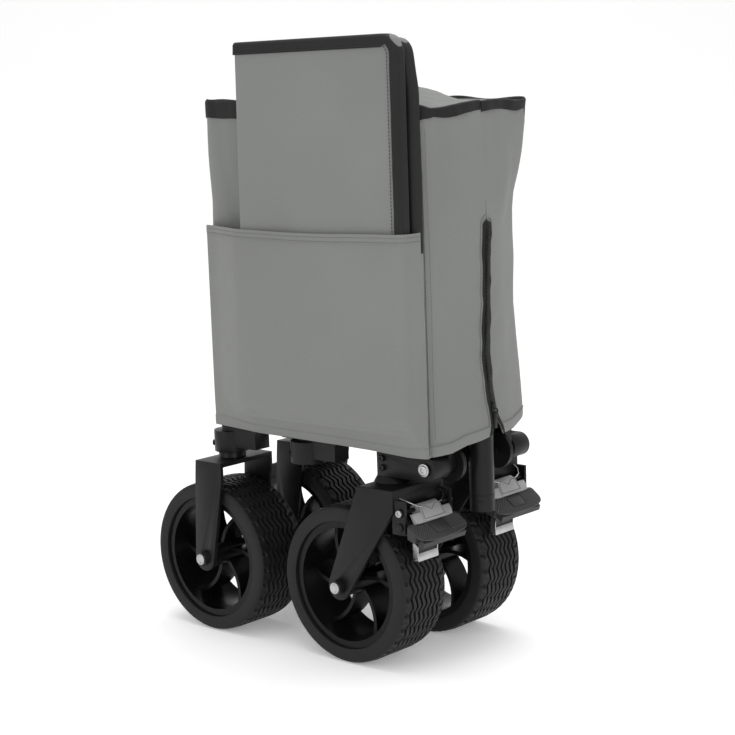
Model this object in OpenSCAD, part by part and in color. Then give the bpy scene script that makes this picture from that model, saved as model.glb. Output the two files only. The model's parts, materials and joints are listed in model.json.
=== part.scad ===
// Folding camp wagon, folded up and standing on its wheels under a lift-off cover.
// X runs forward to the pull handle, Y runs to the left side, Z runs up from the floor.
// The origin is on the floor, at the middle of the whole object's plan.

/* [Wheels] */
// Outside diameter of a tyre
wheel_d = 200; // [160:5:240]
// Width of a tyre across its tread
tyre_w = 81; // [60:1:84]
// Radial depth of a tyre
tyre_depth = 18.7; // [12:0.1:26]
// Diameter of a wheel axle
axle_d = 12; // [8:1:16]
// Number of spokes in a rim
spokes = 6; // [4:1:9]

/* [Frame] */
// Distance from one post to the next along a side, folded
post_pitch = 140; // [132:1:170]
// Distance between the right and the left posts, folded
post_track = 154; // [150:1:190]
// Outside diameter of the lower post tubes
post_d = 25; // [22:0.5:27]
// Wall of the lower post tubes
post_wall = 2.2; // [1.5:0.1:3]
// Length of a scissor arm between its end pivots
arm_l = 392; // [320:2:430]
// Width of the flat scissor arms
arm_w = 18; // [14:1:20]
// Thickness of the flat scissor arms
arm_t = 7.5; // [5:0.5:8]
// Forward reach of a bracket from its post to its pivot
reach_front = 49; // [44:1:52]
// Rearward reach of a bracket from its post to its pivot
reach_back = 24; // [23:1:27]
// Diameter of the pivot bolts
bolt_d = 8; // [6:0.5:10]
// How far each arm turns from folded to unfolded, in degrees
unfold_angle = 46; // [30:1:46]

/* [Forks] */
// Distance of a rear axle behind its post
trail_rear = 12; // [6:1:24]
// Distance of a front axle behind its swivel axis
trail_front = 52; // [40:1:60]
// Thickness of the fork plates
fork_t = 5; // [4:0.5:6]
// Space between a tyre and a fork leg
fork_side_gap = 2.6; // [2:0.2:6]

/* [Handle] */
// Distance of the handle tube ahead of the front posts
handle_ahead = 78; // [74:1:90]
// Diameter of the outer handle tube
handle_d = 31; // [26:1:32]
// Length of the outer handle tube with its end cap
handle_l = 380; // [300:5:420]
// Width of the hand grip
grip_w = 96; // [80:2:104]

/* [Cover and mat] */
// How far the cover's front corners stand ahead of the front posts
cover_ahead = 76; // [68:1:90]
// Thickness of the cover fabric with its lining
fabric_t = 2; // [1:0.5:3]
// How far the bound top edge stands above the top panel
cover_rim = 12; // [4:1:20]
// Width of the folded mat
mat_w = 262; // [200:2:300]
// Height of the folded mat
mat_h = 466; // [380:2:480]
// Thickness of the folded mat
mat_t = 42; // [30:1:50]

/* [Hidden] */
SIDES = ["right", "left"];
PLACES = ["rear", "mid", "front"];
ARMS = ["right_rear", "right_front", "left_rear", "left_front", "end_rear", "end_front"];
CORNERS = ["rear_right", "rear_left", "front_right", "front_left"];
FRONTS = ["right", "left"];

$fn = 64;
RUN_GAP = 0.3;
SEAT = 0.1;
BLACK = "#1b1c1d";
STEEL = "#b9bcbf";
GREY = "#8b8e8a";

// Wheels and forks
wheel_r = wheel_d / 2;
tyre_half = tyre_w / 2;
rim_r = wheel_r - tyre_depth - RUN_GAP;
rim_wall = 9;
tyre_edge = 3;
spoke_deep = 34;
rim_half = tyre_half - 4;
hub_d = axle_d + 16;
hub_half = tyre_half - 1;
leg_in = tyre_half + fork_side_gap;
leg_out = leg_in + fork_t;
fork_roof = wheel_d + 26;
fork_plate = 6;
fork_top = fork_roof + fork_plate;
neck_d = 36;
stem_d = 16;
stem_rise = 12;
nut_t = 7.5;
nut_d = 20;
leg_end_r = 17;

// Posts, brackets and the scissor geometry
bracket_z = wheel_d + 40;
pivot_z = bracket_z + 40;
bracket_d = 46;
cheek_t = 4.5;
slot_half = arm_t + 1;
cheek_out = slot_half + cheek_t;
head_t = 2;
ear_r = 10;
span = post_pitch - reach_front - reach_back;
end_reach = (post_track - span) / 2;
fold_angle = asin(span / arm_l);
rise_folded = arm_l * cos(fold_angle);
rise_open = arm_l * cos(fold_angle + unfold_angle);
drop = rise_folded - rise_open;
top_z = pivot_z + rise_folded;
bore_r = post_d / 2 - post_wall;
inner_r = bore_r - RUN_GAP;
post_floor = bracket_z + 28;
slide_low = post_floor + drop + 2;
post_top = top_z - drop - ear_r - 7;
cap_low = top_z + ear_r + 1;
cap_t = 9;
cap_high = cap_low + cap_t;
pin_hole = bolt_d + 2 * RUN_GAP;
arm_mid = arm_t / 2 + 0.5;

// Brackets: a tube round the post foot with a web and a block that carry the forward ears
foot_h = 28;
web_rise = 7;
web_h = 22;
block_h = 26;
ear_above = 14;
foot_screw_z = bracket_z + 10;

// Front bracket: a block with an outer plate that carries the upright's pivot
clevis_x = 67;
clevis_z = bracket_z + 16;
clevis_d = 30;
front_low_z = bracket_z + 1;
front_h = 30;
front_back = 9;
front_block_l = 40;
plate_out = cheek_out + 5;
rib_y = 2;
rib_t = 12;
rib_h = 22;
screw_rises = [11, 23];
upright_w = 22;
upright_t = 13;
upright_l = 150;
upright_out = -cheek_out - 1;
upright_in = upright_out - upright_t;
flange_d = 46;
flange_in = upright_in - 6;
clevis_in = flange_in - 4;

// Places along X, first from the rear post
x_rear = 0;
x_front = 2 * post_pitch;
rear_axle_x = x_rear - trail_rear;
front_axle_x = x_front - trail_front;
x_low = rear_axle_x - wheel_r;
cover_half = post_track / 2 + cheek_out + head_t + 0.8 + fabric_t;
cover_back_x = x_rear - cheek_out - head_t - 0.5 - fabric_t;
cover_front_x = x_front + cover_ahead;
handle_x = x_front + handle_ahead;
cover_nose_x = handle_x + handle_d / 2 + 3.3 + fabric_t;
mid_x = (x_low + cover_nose_x) / 2;
mat_gap = 3;
fold_gap = 3;
mat_back_y = -cover_half - mat_gap;
mat_front_y = mat_back_y - mat_t;
mat_x1 = cover_front_x + 2;
mat_x0 = mat_x1 - mat_w;
pocket_front_y = mat_front_y - RUN_GAP - fabric_t;
axle_end_y = post_track / 2 + leg_out + nut_t;
mid_y = (pocket_front_y + axle_end_y) / 2;

// Cover, mat and liner heights
hem_z = bracket_z + 36;
panel_z = cap_high + RUN_GAP;
cover_top_z = panel_z + cover_rim;
binding_h = 25;
pocket_top_z = bracket_z + 300;
mat_tucked = 238;
mat_z = pocket_top_z - mat_tucked;
liner_gap = 0.5;
liner_low_z = pivot_z + 20;
liner_high_z = top_z - 26;
hem_fold = 16;
zip_w = 18;
nose_half = 24;

// Handle
handle_z = bracket_z - 50;
hinge_z = bracket_z + 18;
hinge_x = handle_x - handle_d / 2 - 16;
hinge_d = 16;
cap_h = 21;
cross_half = post_track / 2 - 34;
column_x = x_front + cheek_out + 2;
column_w = 18;
yoke_reach = column_x + column_w - x_front - arm_t - 0.5 + head_t + RUN_GAP;
lug_half = 6;
yoke_t = 5;
inner_tube_d = handle_d - 6;
grip_h = 66;
grip_t = 20;
grip_top_z = panel_z - 12;
grip_wall = 15;

// Brakes
brake_x = 40;
flange_h = 20;
pedal_pivot_x = brake_x + 8;
pedal_pivot_z = fork_top - 44;
release_pivot_x = brake_x + 9;
release_pivot_z = fork_top - 26;
brake_pin_d = 5;
lug_out = leg_in + 2;
pedal_half = lug_out - 5;
brake_pin_places = [[pedal_pivot_x, pedal_pivot_z], [release_pivot_x, release_pivot_z]];

// ---------------------------------------------------------------- helpers

function side_sign(s) = s == "right" ? -1 : 1;
function place_x(p) = p == "rear" ? x_rear : p == "mid" ? post_pitch : x_front;

module placed() {
    translate([-mid_x, -mid_y, 0]) children();
}

// Children drawn with +X outward go to a post, with +Y kept as the outboard side
module at_post(p, s) {
    translate([place_x(p), side_sign(s) * post_track / 2, 0])
        scale_side(s) children();
}

module scale_side(s) {
    if (s == "right") mirror([0, 1, 0]) children();
    else children();
}

module bar_y(x, z, d, y0, y1) {
    translate([x, y1, z]) rotate([90, 0, 0]) cylinder(h = y1 - y0, d = d);
}

// ---------------------------------------------------------------- posts

// Two cheeks that hold an arm end between them, reaching along +X from the post
module cheeks(reach, low, high, z_pin) {
    for (k = [-1, 1])
        translate([0, k * (slot_half + cheek_t / 2), 0])
            difference() {
                translate([0, -cheek_t / 2, low]) cube([reach + ear_r, cheek_t, high - low]);
                bar_y(reach, z_pin, pin_hole, -cheek_t, cheek_t);
            }
}

// Pivot bolt across an ear: domed head outboard, nut inboard, collar beside the arm
module ear_bolt(reach, z_pin, arm_side) {
    bar_y(reach, z_pin, bolt_d, -cheek_out - head_t, cheek_out + head_t);
    bar_y(reach, z_pin, bolt_d + 7, cheek_out + SEAT, cheek_out + head_t);
    bar_y(reach, z_pin, bolt_d + 5, -cheek_out - head_t, -cheek_out - SEAT);
    if (arm_side > 0)
        bar_y(reach, z_pin, bolt_d + 5, -slot_half + RUN_GAP, -RUN_GAP);
    if (arm_side < 0)
        bar_y(reach, z_pin, bolt_d + 5, RUN_GAP, slot_half - RUN_GAP);
}

// Pan-head screw on a bracket, its head facing along -X of its own place
module small_screw(d) {
    rotate([0, -90, 0]) translate([0, 0, SEAT])
        difference() {
            union() {
                cylinder(h = 1.6, d = d);
                translate([0, 0, 1.6]) cylinder(h = 0.8, d = d * 0.8);
            }
            translate([-d / 4, -0.6, 1.4]) cube([d / 2, 1.2, 2]);
            translate([-0.6, -d / 4, 1.4]) cube([1.2, d / 2, 2]);
        }
}

// The end ears point inboard from the corner posts
module inboard() {
    rotate([0, 0, -90]) children();
}

// The rear ears point backward with their outboard side kept
module backward() {
    mirror([1, 0, 0]) children();
}

module post_body(p) {
    corner = p != "mid";
    difference() {
        union() {
            if (p != "front") {
                translate([0, 0, bracket_z]) cylinder(h = foot_h, d = bracket_d);
                translate([0, -cheek_out, bracket_z + web_rise])
                    cube([reach_front + ear_r - 2, 2 * cheek_out, web_h]);
                cheeks(reach_front, bracket_z + foot_h, pivot_z + ear_above, pivot_z);
                translate([0, -cheek_out, bracket_z + foot_h])
                    cube([reach_front - ear_r - 4, 2 * cheek_out, block_h]);
            }
            if (p == "front") {
                translate([-front_back, -cheek_out + 0.5, front_low_z])
                    cube([front_block_l, 2 * cheek_out - 0.5, front_h]);
                translate([-front_back, cheek_out, front_low_z])
                    cube([clevis_x + front_back, plate_out - cheek_out, front_h]);
                bar_y(clevis_x, clevis_z, clevis_d, -cheek_out, plate_out);
                translate([front_block_l - front_back, rib_y, clevis_z - rib_h / 2])
                    cube([clevis_x - front_block_l + front_back, rib_t, rib_h]);
            }
            if (p != "rear")
                backward() cheeks(reach_back, pivot_z - ear_r, pivot_z + ear_above, pivot_z);
            if (corner)
                inboard() cheeks(end_reach, pivot_z - ear_r, pivot_z + ear_above, pivot_z);
            translate([0, 0, post_floor - 2]) cylinder(h = post_top - post_floor + 2, d = post_d);
        }
        translate([0, 0, post_floor]) cylinder(h = post_top, r = bore_r);
        if (corner)
            translate([0, 0, bracket_z - 1]) cylinder(h = stem_rise + 2, r = stem_d / 2 + RUN_GAP);
        if (p == "front")
            bar_y(clevis_x, clevis_z, pin_hole, -2 * clevis_d, 2 * clevis_d);
    }
}

module post_bolts(p, s) {
    if (p != "front") ear_bolt(reach_front, pivot_z, -1);
    if (p != "rear") backward() ear_bolt(reach_back, pivot_z, 1);
    if (p != "mid") inboard() ear_bolt(end_reach, pivot_z, side_sign(s));
    if (p != "front")
        rotate([0, 0, -36]) translate([-bracket_d / 2, 0, foot_screw_z]) small_screw(8);
    if (p == "front") {
        bar_y(clevis_x, clevis_z, bolt_d, clevis_in, plate_out + head_t);
        bar_y(clevis_x, clevis_z, bolt_d + 9, plate_out + SEAT, plate_out + head_t + 1);
        for (rise = screw_rises)
            translate([-1, plate_out, bracket_z + rise]) rotate([0, 0, -90]) small_screw(8);
    }
}

module post(p, s) {
    color(BLACK) placed() at_post(p, s) post_body(p);
    color(STEEL) placed() at_post(p, s) post_bolts(p, s);
}

// Upper post: an inner tube with a cap and the upper ears
module slide(p, s) {
    corner = p != "mid";
    color(BLACK) placed() at_post(p, s) {
        difference() {
            union() {
                translate([0, 0, slide_low]) cylinder(h = cap_high - slide_low, r = inner_r);
                translate([0, 0, cap_low - 24]) cylinder(h = cap_high - cap_low + 24, d = post_d);
            }
            translate([0, 0, slide_low - 1]) cylinder(h = cap_low - slide_low, r = inner_r - post_wall);
        }
        if (p != "front") {
            cheeks(reach_front, top_z - ear_r, cap_high, top_z);
            translate([0, -cheek_out, cap_low]) cube([reach_front + ear_r, 2 * cheek_out, cap_t]);
        }
        if (p != "rear")
            backward() {
                cheeks(reach_back, top_z - ear_r, cap_high, top_z);
                translate([0, -cheek_out, cap_low]) cube([reach_back + ear_r, 2 * cheek_out, cap_t]);
            }
        if (corner)
            inboard() {
                cheeks(end_reach, top_z - ear_r, cap_high, top_z);
                translate([0, -cheek_out, cap_low]) cube([end_reach + ear_r, 2 * cheek_out, cap_t]);
            }
    }
    color(STEEL) placed() at_post(p, s) {
        if (p != "front") ear_bolt(reach_front, top_z, 1);
        if (p != "rear") backward() ear_bolt(reach_back, top_z, -1);
        if (corner) inboard() ear_bolt(end_reach, top_z, -side_sign(s));
    }
}

// ---------------------------------------------------------------- scissor arms

// Flat bar in the XZ plane from its lower pivot at the origin, leaning toward +X
module arm_bar() {
    rotate([90, 0, 0]) translate([0, 0, -arm_t / 2])
        rotate([0, 0, 90 - fold_angle])
            linear_extrude(height = arm_t)
                difference() {
                    union() {
                        translate([0, -arm_w / 2]) square([arm_l, arm_w]);
                        for (x = [0, arm_l]) translate([x, 0]) circle(d = arm_w);
                    }
                    for (x = [0, arm_l / 2, arm_l]) translate([x, 0]) circle(d = pin_hole);
                }
}

// The centre rivet of a crossing, carried by the rising arm
module centre_rivet(reach_out) {
    arm_face = arm_t + 0.5;
    translate([span / 2, 0, rise_folded / 2]) {
        bar_y(0, 0, bolt_d, -arm_face - head_t, arm_face + reach_out);
        bar_y(0, 0, bolt_d + 6, arm_face + reach_out - head_t, arm_face + reach_out);
        bar_y(0, 0, bolt_d + 6, -arm_face - head_t, -arm_face - SEAT);
    }
}

// Rising arm: lower end on the first post; falling arm: lower end on the second post
module crossing_arm(kind, reach_out) {
    if (kind == "rising") {
        color(BLACK) translate([0, -arm_mid, 0]) arm_bar();
        color(STEEL) centre_rivet(reach_out);
    } else {
        color(BLACK) translate([span, arm_mid, 0]) mirror([1, 0, 0]) arm_bar();
    }
}

module side_arm(s, first, kind) {
    placed() at_post(first, s)
        translate([reach_front, 0, pivot_z]) crossing_arm(kind, head_t + RUN_GAP);
}

module end_arm(p, kind) {
    reach_out = p == "front" ? yoke_reach : head_t + RUN_GAP;
    placed() at_post(p, "right") inboard()
        translate([end_reach, 0, pivot_z]) crossing_arm(kind, reach_out);
}

module arm(place, kind) {
    if (place == "right_rear") side_arm("right", "rear", kind);
    if (place == "right_front") side_arm("right", "mid", kind);
    if (place == "left_rear") side_arm("left", "rear", kind);
    if (place == "left_front") side_arm("left", "mid", kind);
    if (place == "end_rear") end_arm("rear", kind);
    if (place == "end_front") end_arm("front", kind);
}

// ---------------------------------------------------------------- wheels

// Children drawn with Y as the wheel's axis go to a corner's axle
module at_axle(c) {
    rear = c == "rear_right" || c == "rear_left";
    right = c == "rear_right" || c == "front_right";
    placed()
        translate([rear ? rear_axle_x : front_axle_x, (right ? -1 : 1) * post_track / 2, wheel_r])
            scale_side(right ? "right" : "left") children();
}

module tyre(c) {
    color(BLACK) at_axle(c) rotate([90, 0, 0])
        rotate_extrude($fn = 96)
            polygon([[wheel_r - tyre_depth, -tyre_half], [wheel_r - tyre_edge, -tyre_half],
                     [wheel_r, -tyre_half + tyre_edge], [wheel_r, tyre_half - tyre_edge],
                     [wheel_r - tyre_edge, tyre_half], [wheel_r - tyre_depth, tyre_half]]);
}

module spoke_outline() {
    bend_r = rim_r * 0.75;
    intersection() {
        difference() {
            circle(r = rim_r - rim_wall + 0.5);
            circle(r = hub_d / 2 - 0.5);
        }
        translate([bend_r, 0]) difference() {
            circle(r = bend_r + 2.5);
            circle(r = bend_r - 2.5);
        }
        square([rim_r, rim_r]);
    }
}

module rim(c) {
    color(BLACK) at_axle(c) rotate([90, 0, 0]) {
        difference() {
            union() {
                difference() {
                    cylinder(h = 2 * rim_half, r = rim_r, center = true);
                    cylinder(h = 2 * rim_half + 2, r = rim_r - rim_wall, center = true);
                }
                cylinder(h = 2 * hub_half, d = hub_d, center = true);
                for (i = [0:spokes - 1])
                    rotate([0, 0, i * 360 / spokes])
                        linear_extrude(height = spoke_deep, center = true) spoke_outline();
            }
            cylinder(h = 2 * hub_half + 2, d = axle_d + 2 * RUN_GAP, center = true);
        }
    }
}

module axle(c) {
    color(STEEL) at_axle(c) {
        bar_y(0, 0, axle_d, -leg_out - nut_t, leg_out + nut_t);
        for (k = [-1, 1]) {
            near = k > 0 ? leg_out : -leg_out - nut_t;
            translate([0, near + nut_t, 0]) rotate([90, 30, 0]) cylinder(h = nut_t, d = nut_d, $fn = 6);
        }
    }
}

// ---------------------------------------------------------------- forks

module rear_leg() {
    half_top = 23.5;
    top_x = trail_rear + 2.5;
    low_x = 0;
    rotate([90, 0, 0]) linear_extrude(height = fork_t, center = true)
        difference() {
            union() {
                polygon([[top_x - half_top, fork_top], [top_x + half_top, fork_top],
                         [top_x + half_top, fork_top - 24], [low_x + leg_end_r, wheel_r],
                         [low_x - leg_end_r, wheel_r], [top_x - half_top - 2, fork_top - 24]]);
                translate([low_x, wheel_r]) circle(r = leg_end_r);
            }
            translate([low_x, wheel_r]) circle(d = axle_d + 2 * RUN_GAP);
        }
}

module front_leg() {
    back_x = trail_front - 16;
    front_x = trail_front + brake_x;
    rotate([90, 0, 0]) linear_extrude(height = fork_t, center = true)
        difference() {
            union() {
                polygon([[back_x, fork_top], [front_x, fork_top], [front_x, fork_roof - flange_h],
                         [leg_end_r - 1, wheel_r - 7], [-leg_end_r, wheel_r + 4]]);
                translate([0, wheel_r]) circle(r = leg_end_r);
            }
            translate([0, wheel_r]) circle(d = axle_d + 2 * RUN_GAP);
        }
}

// Drawn from the axle's X, with the legs either side of the wheel
module fork_shape(front) {
    x0 = front ? trail_front - 16 : trail_rear - 21;
    x1 = front ? trail_front + brake_x : trail_rear + 26;
    pin_x = front ? trail_front : trail_rear;
    for (k = [-1, 1]) translate([0, k * (leg_in + fork_t / 2), -wheel_r])
        if (front) front_leg(); else rear_leg();
    translate([x0, -leg_out, fork_roof - wheel_r]) cube([x1 - x0, 2 * leg_out, fork_plate]);
    translate([pin_x, 0, fork_top - wheel_r - 1])
        cylinder(h = bracket_z + stem_rise - 1 - fork_top, d = stem_d);
    if (!front)
        translate([pin_x, 0, fork_top - wheel_r - 1])
            cylinder(h = bracket_z - fork_top + 1, d = neck_d);
    if (front) {
        translate([x1 - 4, -leg_out, fork_roof - flange_h - wheel_r])
            cube([4, 2 * leg_out, flange_h + 1]);
        for (k = [-1, 1]) difference() {
            translate([x1 - 4, k * (lug_out - 2) - 2, pedal_pivot_z - 9 - wheel_r]) cube([20, 4, 42]);
            for (p = brake_pin_places)
                bar_y(trail_front + p[0], p[1] - wheel_r, brake_pin_d + 2 * SEAT, -60, 60);
        }
    }
}

module brake_pins() {
    for (p = brake_pin_places) {
        bar_y(trail_front + p[0], p[1] - wheel_r, brake_pin_d, -lug_out - head_t, lug_out + head_t);
        for (y = [-lug_out - head_t, lug_out + SEAT])
            bar_y(trail_front + p[0], p[1] - wheel_r, 10, y, y + head_t - SEAT);
    }
}

module fork(c) {
    front = c == "front_right" || c == "front_left";
    color(BLACK) at_axle(c) fork_shape(front);
    if (front) color(STEEL) at_axle(c) brake_pins();
}

module swivel_bearing(s) {
    color(BLACK) placed() at_post("front", s)
        difference() {
            translate([0, 0, fork_top + RUN_GAP])
                cylinder(h = bracket_z + 1 - fork_top - RUN_GAP, d1 = 46, d2 = 36);
            translate([0, 0, fork_top - 1]) cylinder(h = 20, d = stem_d + 2 * RUN_GAP);
        }
}

module front_upright(s) {
    color(BLACK) placed() at_post("front", s) difference() {
        union() {
            translate([clevis_x - upright_w / 2, upright_in, clevis_z])
                cube([upright_w, upright_t, upright_l]);
            bar_y(clevis_x, clevis_z, upright_w, upright_in, upright_out);
            bar_y(clevis_x, clevis_z, flange_d, flange_in, upright_in);
        }
        bar_y(clevis_x, clevis_z, pin_hole, clevis_in - 3, 0);
    }
}

// ---------------------------------------------------------------- brakes

// Children drawn with the origin on the swivel axis at floor level
module at_brake(s) {
    placed() at_post("front", s) children();
}

module plate_y(points, y0, y1) {
    translate([0, y1, 0]) rotate([90, 0, 0]) linear_extrude(height = y1 - y0) polygon(points);
}

// Wide foot pedal with the steel shoe below it that presses on the tyre
module brake_pedal(s) {
    x = pedal_pivot_x;
    z = pedal_pivot_z;
    color(BLACK) at_brake(s) difference() {
        union() {
            plate_y([[x + 6, z + 3], [x + 12, z + 4], [x + 33, z - 16], [x + 31, z - 22],
                     [x + 8, z - 8]], -pedal_half, pedal_half);
            plate_y([[x + 13, z + 3], [x + 26, z - 9], [x + 24, z - 16], [x + 13, z - 12]],
                    -pedal_half - 7, pedal_half + 7);
            for (k = [-1, 1]) plate_y([[x, z - 5.5], [x + 9, z - 8], [x + 9, z + 3.5], [x, z + 5.5]],
                                      k * (pedal_half - 4) - 3, k * (pedal_half - 4) + 3);
            bar_y(x, z, 11, -pedal_half, pedal_half);
            plate_y([[x - 2, z], [x + 3, z], [x + 3, z - 34], [x - 2, z - 34]], -16, 16);
        }
        bar_y(x, z, brake_pin_d + 2 * RUN_GAP, -60, 60);
    }
    color(STEEL) at_brake(s)
        translate([0, 0, -SEAT])
            plate_y([[x - 2, z - 34], [x + 3, z - 34], [x + 3, z - 45], [x - 4, z - 47],
                     [x - 4, z - 44], [x - 2, z - 43]], -18.5, 18.5);
}

// Smaller pedal above it that lets the brake go
module release_pedal(s) {
    x = release_pivot_x;
    z = release_pivot_z;
    color(GREY) at_brake(s) difference() {
        union() {
            bar_y(x, z, 11, -20, 20);
            plate_y([[x + 2, z + 4], [x + 5.5, z + 1], [x + 12, z - 11], [x + 8, z - 12], [x, z - 3]],
                    -20, 20);
            plate_y([[x + 6, z - 3], [x + 10, z - 2], [x + 16, z - 13], [x + 13, z - 15]], -35, 35);
        }
        bar_y(x, z, brake_pin_d + 2 * RUN_GAP, -60, 60);
    }
}

// ---------------------------------------------------------------- handle

// Column hung from the front crossing's centre, with the cross tube the handle turns on
module handle_yoke() {
    centre_z = pivot_z + rise_folded / 2;
    color(BLACK) placed() {
        difference() {
            union() {
                translate([column_x, -column_w / 2, hinge_z - 10])
                    cube([column_w, column_w, centre_z + 12 - hinge_z + 10]);
                for (k = [-1, 1])
                    translate([column_x, k * (lug_half + 0.5 + yoke_t / 2) - yoke_t / 2, hinge_z - 10])
                        cube([hinge_x - column_x, yoke_t, 20]);
                for (k = [-1, 1]) {
                    y0 = k > 0 ? lug_half + 0.5 : -lug_half - 0.5 - yoke_t;
                    bar_y(hinge_x, hinge_z, 20, y0, y0 + yoke_t);
                }
                bar_y(hinge_x, hinge_z, hinge_d, -cross_half, cross_half);
            }
            translate([column_x - 1, 0, centre_z]) rotate([0, 90, 0]) cylinder(h = column_w + 2, d = pin_hole);
        }
    }
}

module handle_tube() {
    wall = 2.5;
    color(BLACK) placed() {
        difference() {
            union() {
                translate([handle_x, 0, handle_z]) cylinder(h = handle_l, d = handle_d);
                translate([hinge_x, -lug_half, hinge_z - 9]) cube([handle_x - hinge_x, 2 * lug_half, 18]);
                bar_y(hinge_x, hinge_z, 21, -lug_half, lug_half);
            }
            translate([handle_x, 0, handle_z + cap_h])
                cylinder(h = handle_l, d = handle_d - 2 * wall);
            translate([handle_x, 0, handle_z + cap_h - 0.6]) difference() {
                cylinder(h = 0.8, d = handle_d + 2);
                translate([0, 0, -1]) cylinder(h = 3, d = handle_d - 1);
            }
            bar_y(hinge_x, hinge_z, hinge_d + 2 * RUN_GAP, -20, 20);
        }
    }
    color(STEEL) placed()
        translate([handle_x, 0, handle_z + 11]) rotate([0, 0, -60])
            translate([handle_d / 2 + SEAT, 0, 0]) rotate([0, 90, 0]) cylinder(h = 1.6, d = 6);
}

module handle_inner_tube() {
    low = handle_z + cap_h + 8;
    high = grip_top_z - grip_h;
    color(BLACK) placed() translate([handle_x, 0, low]) difference() {
        cylinder(h = high - low, d = inner_tube_d - 2 * RUN_GAP);
        translate([0, 0, -1]) cylinder(h = high - low - 9, d = inner_tube_d - 6);
    }
}

module handle_grip() {
    low = grip_top_z - grip_h;
    color(BLACK) placed() translate([handle_x - grip_t / 2, 0, 0])
        rotate([90, 0, 90]) linear_extrude(height = grip_t)
            difference() {
                union() {
                    translate([-grip_w / 2 + 12, low]) square([grip_w - 24, grip_h]);
                    translate([-grip_w / 2, low + 12]) square([grip_w, grip_h - 24]);
                    for (k = [-1, 1], z = [low + 12, low + grip_h - 12])
                        translate([k * (grip_w / 2 - 12), z]) circle(r = 12);
                }
                translate([-grip_w / 2 + grip_wall, low + grip_wall])
                    square([grip_w - 2 * grip_wall, grip_h - 2 * grip_wall]);
            }
}

// ---------------------------------------------------------------- soft pieces

module cover_outline(inset) {
    x0 = cover_back_x + inset;
    x1 = cover_front_x - inset;
    nose = cover_nose_x - inset;
    y = cover_half - inset;
    polygon([[x0, -y], [x1, -y], [nose, -nose_half], [nose, nose_half], [x1, y], [x0, y]]);
}

module cover_shell() {
    color(GREY) placed() {
        difference() {
            translate([0, 0, hem_z]) linear_extrude(height = cover_top_z - binding_h - hem_z)
                cover_outline(0);
            translate([0, 0, hem_z - 1]) linear_extrude(height = cover_top_z) cover_outline(fabric_t);
            translate([cover_nose_x - 10, -zip_w / 2 - 0.5, hem_z - 1])
                cube([20, zip_w + 1, pocket_top_z - hem_z]);
        }
        translate([0, 0, panel_z]) linear_extrude(height = fabric_t) cover_outline(fabric_t + RUN_GAP);
    }
}

module cover_top_binding() {
    color(BLACK) placed() difference() {
        translate([0, 0, cover_top_z - binding_h]) linear_extrude(height = binding_h) cover_outline(0);
        translate([0, 0, cover_top_z - binding_h - 1]) linear_extrude(height = binding_h + 2)
            cover_outline(fabric_t);
    }
}

// Front sheet of the pocket, bowed out over the mat, with its floor
module cover_pocket() {
    back = -cover_half - RUN_GAP;
    inner_y = pocket_front_y + fabric_t;
    inner_x = mat_x1 + RUN_GAP;
    color(GREY) placed() translate([0, 0, hem_z]) difference() {
        linear_extrude(height = pocket_top_z - hem_z)
            polygon([[cover_back_x, back], [mat_x0 - 4, pocket_front_y],
                     [inner_x + fabric_t, pocket_front_y], [inner_x + fabric_t, back]]);
        translate([0, 0, fabric_t]) linear_extrude(height = pocket_top_z)
            polygon([[cover_back_x + 12, back - fabric_t], [mat_x0 - 2, inner_y],
                     [inner_x, inner_y], [inner_x, back + 1], [cover_back_x + 12, back + 1]]);
    }
}

module cover_zip() {
    color(BLACK) placed()
        translate([cover_nose_x - fabric_t, -zip_w / 2, hem_z + hem_fold])
            cube([fabric_t, zip_w, pocket_top_z - hem_z - hem_fold - 2]);
}

module floor_mat() {
    layer = (mat_t - fold_gap) / 2;
    color(GREY) placed() translate([mat_x0, mat_front_y, mat_z]) {
        cube([mat_w, layer, mat_h]);
        translate([0, layer + fold_gap, 0]) cube([mat_w, layer, mat_h - 4]);
        translate([1, layer, 0]) cube([5, fold_gap, mat_h - 8]);
    }
}

// The wagon's fabric tub, gathered between the folded posts
module folded_liner() {
    x0 = x_rear + cheek_out + head_t + liner_gap;
    x1 = x_front - cheek_out - head_t - liner_gap;
    y1 = post_track / 2 - post_d / 2 - RUN_GAP;
    color(GREY) placed() translate([x0, -y1, liner_low_z])
        cube([x1 - x0, 2 * y1, liner_high_z - liner_low_z]);
}

// ---------------------------------------------------------------- parts

for (p = PLACES, s = SIDES) {
    post(p, s);
    slide(p, s);
}
for (a = ARMS, k = ["rising", "falling"])
    arm(a, k);
for (c = CORNERS) {
    tyre(c);
    rim(c);
    axle(c);
    fork(c);
}
for (s = FRONTS) {
    swivel_bearing(s);
    brake_pedal(s);
    release_pedal(s);
    front_upright(s);
}
handle_yoke();
handle_tube();
handle_inner_tube();
handle_grip();
cover_shell();
cover_top_binding();
cover_pocket();
cover_zip();
floor_mat();
folded_liner();
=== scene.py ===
"""Looks of the folded camp wagon under its lift-off cover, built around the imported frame."""
import json
import math

import bpy
import numpy as np
from mathutils import Matrix, Vector

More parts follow.
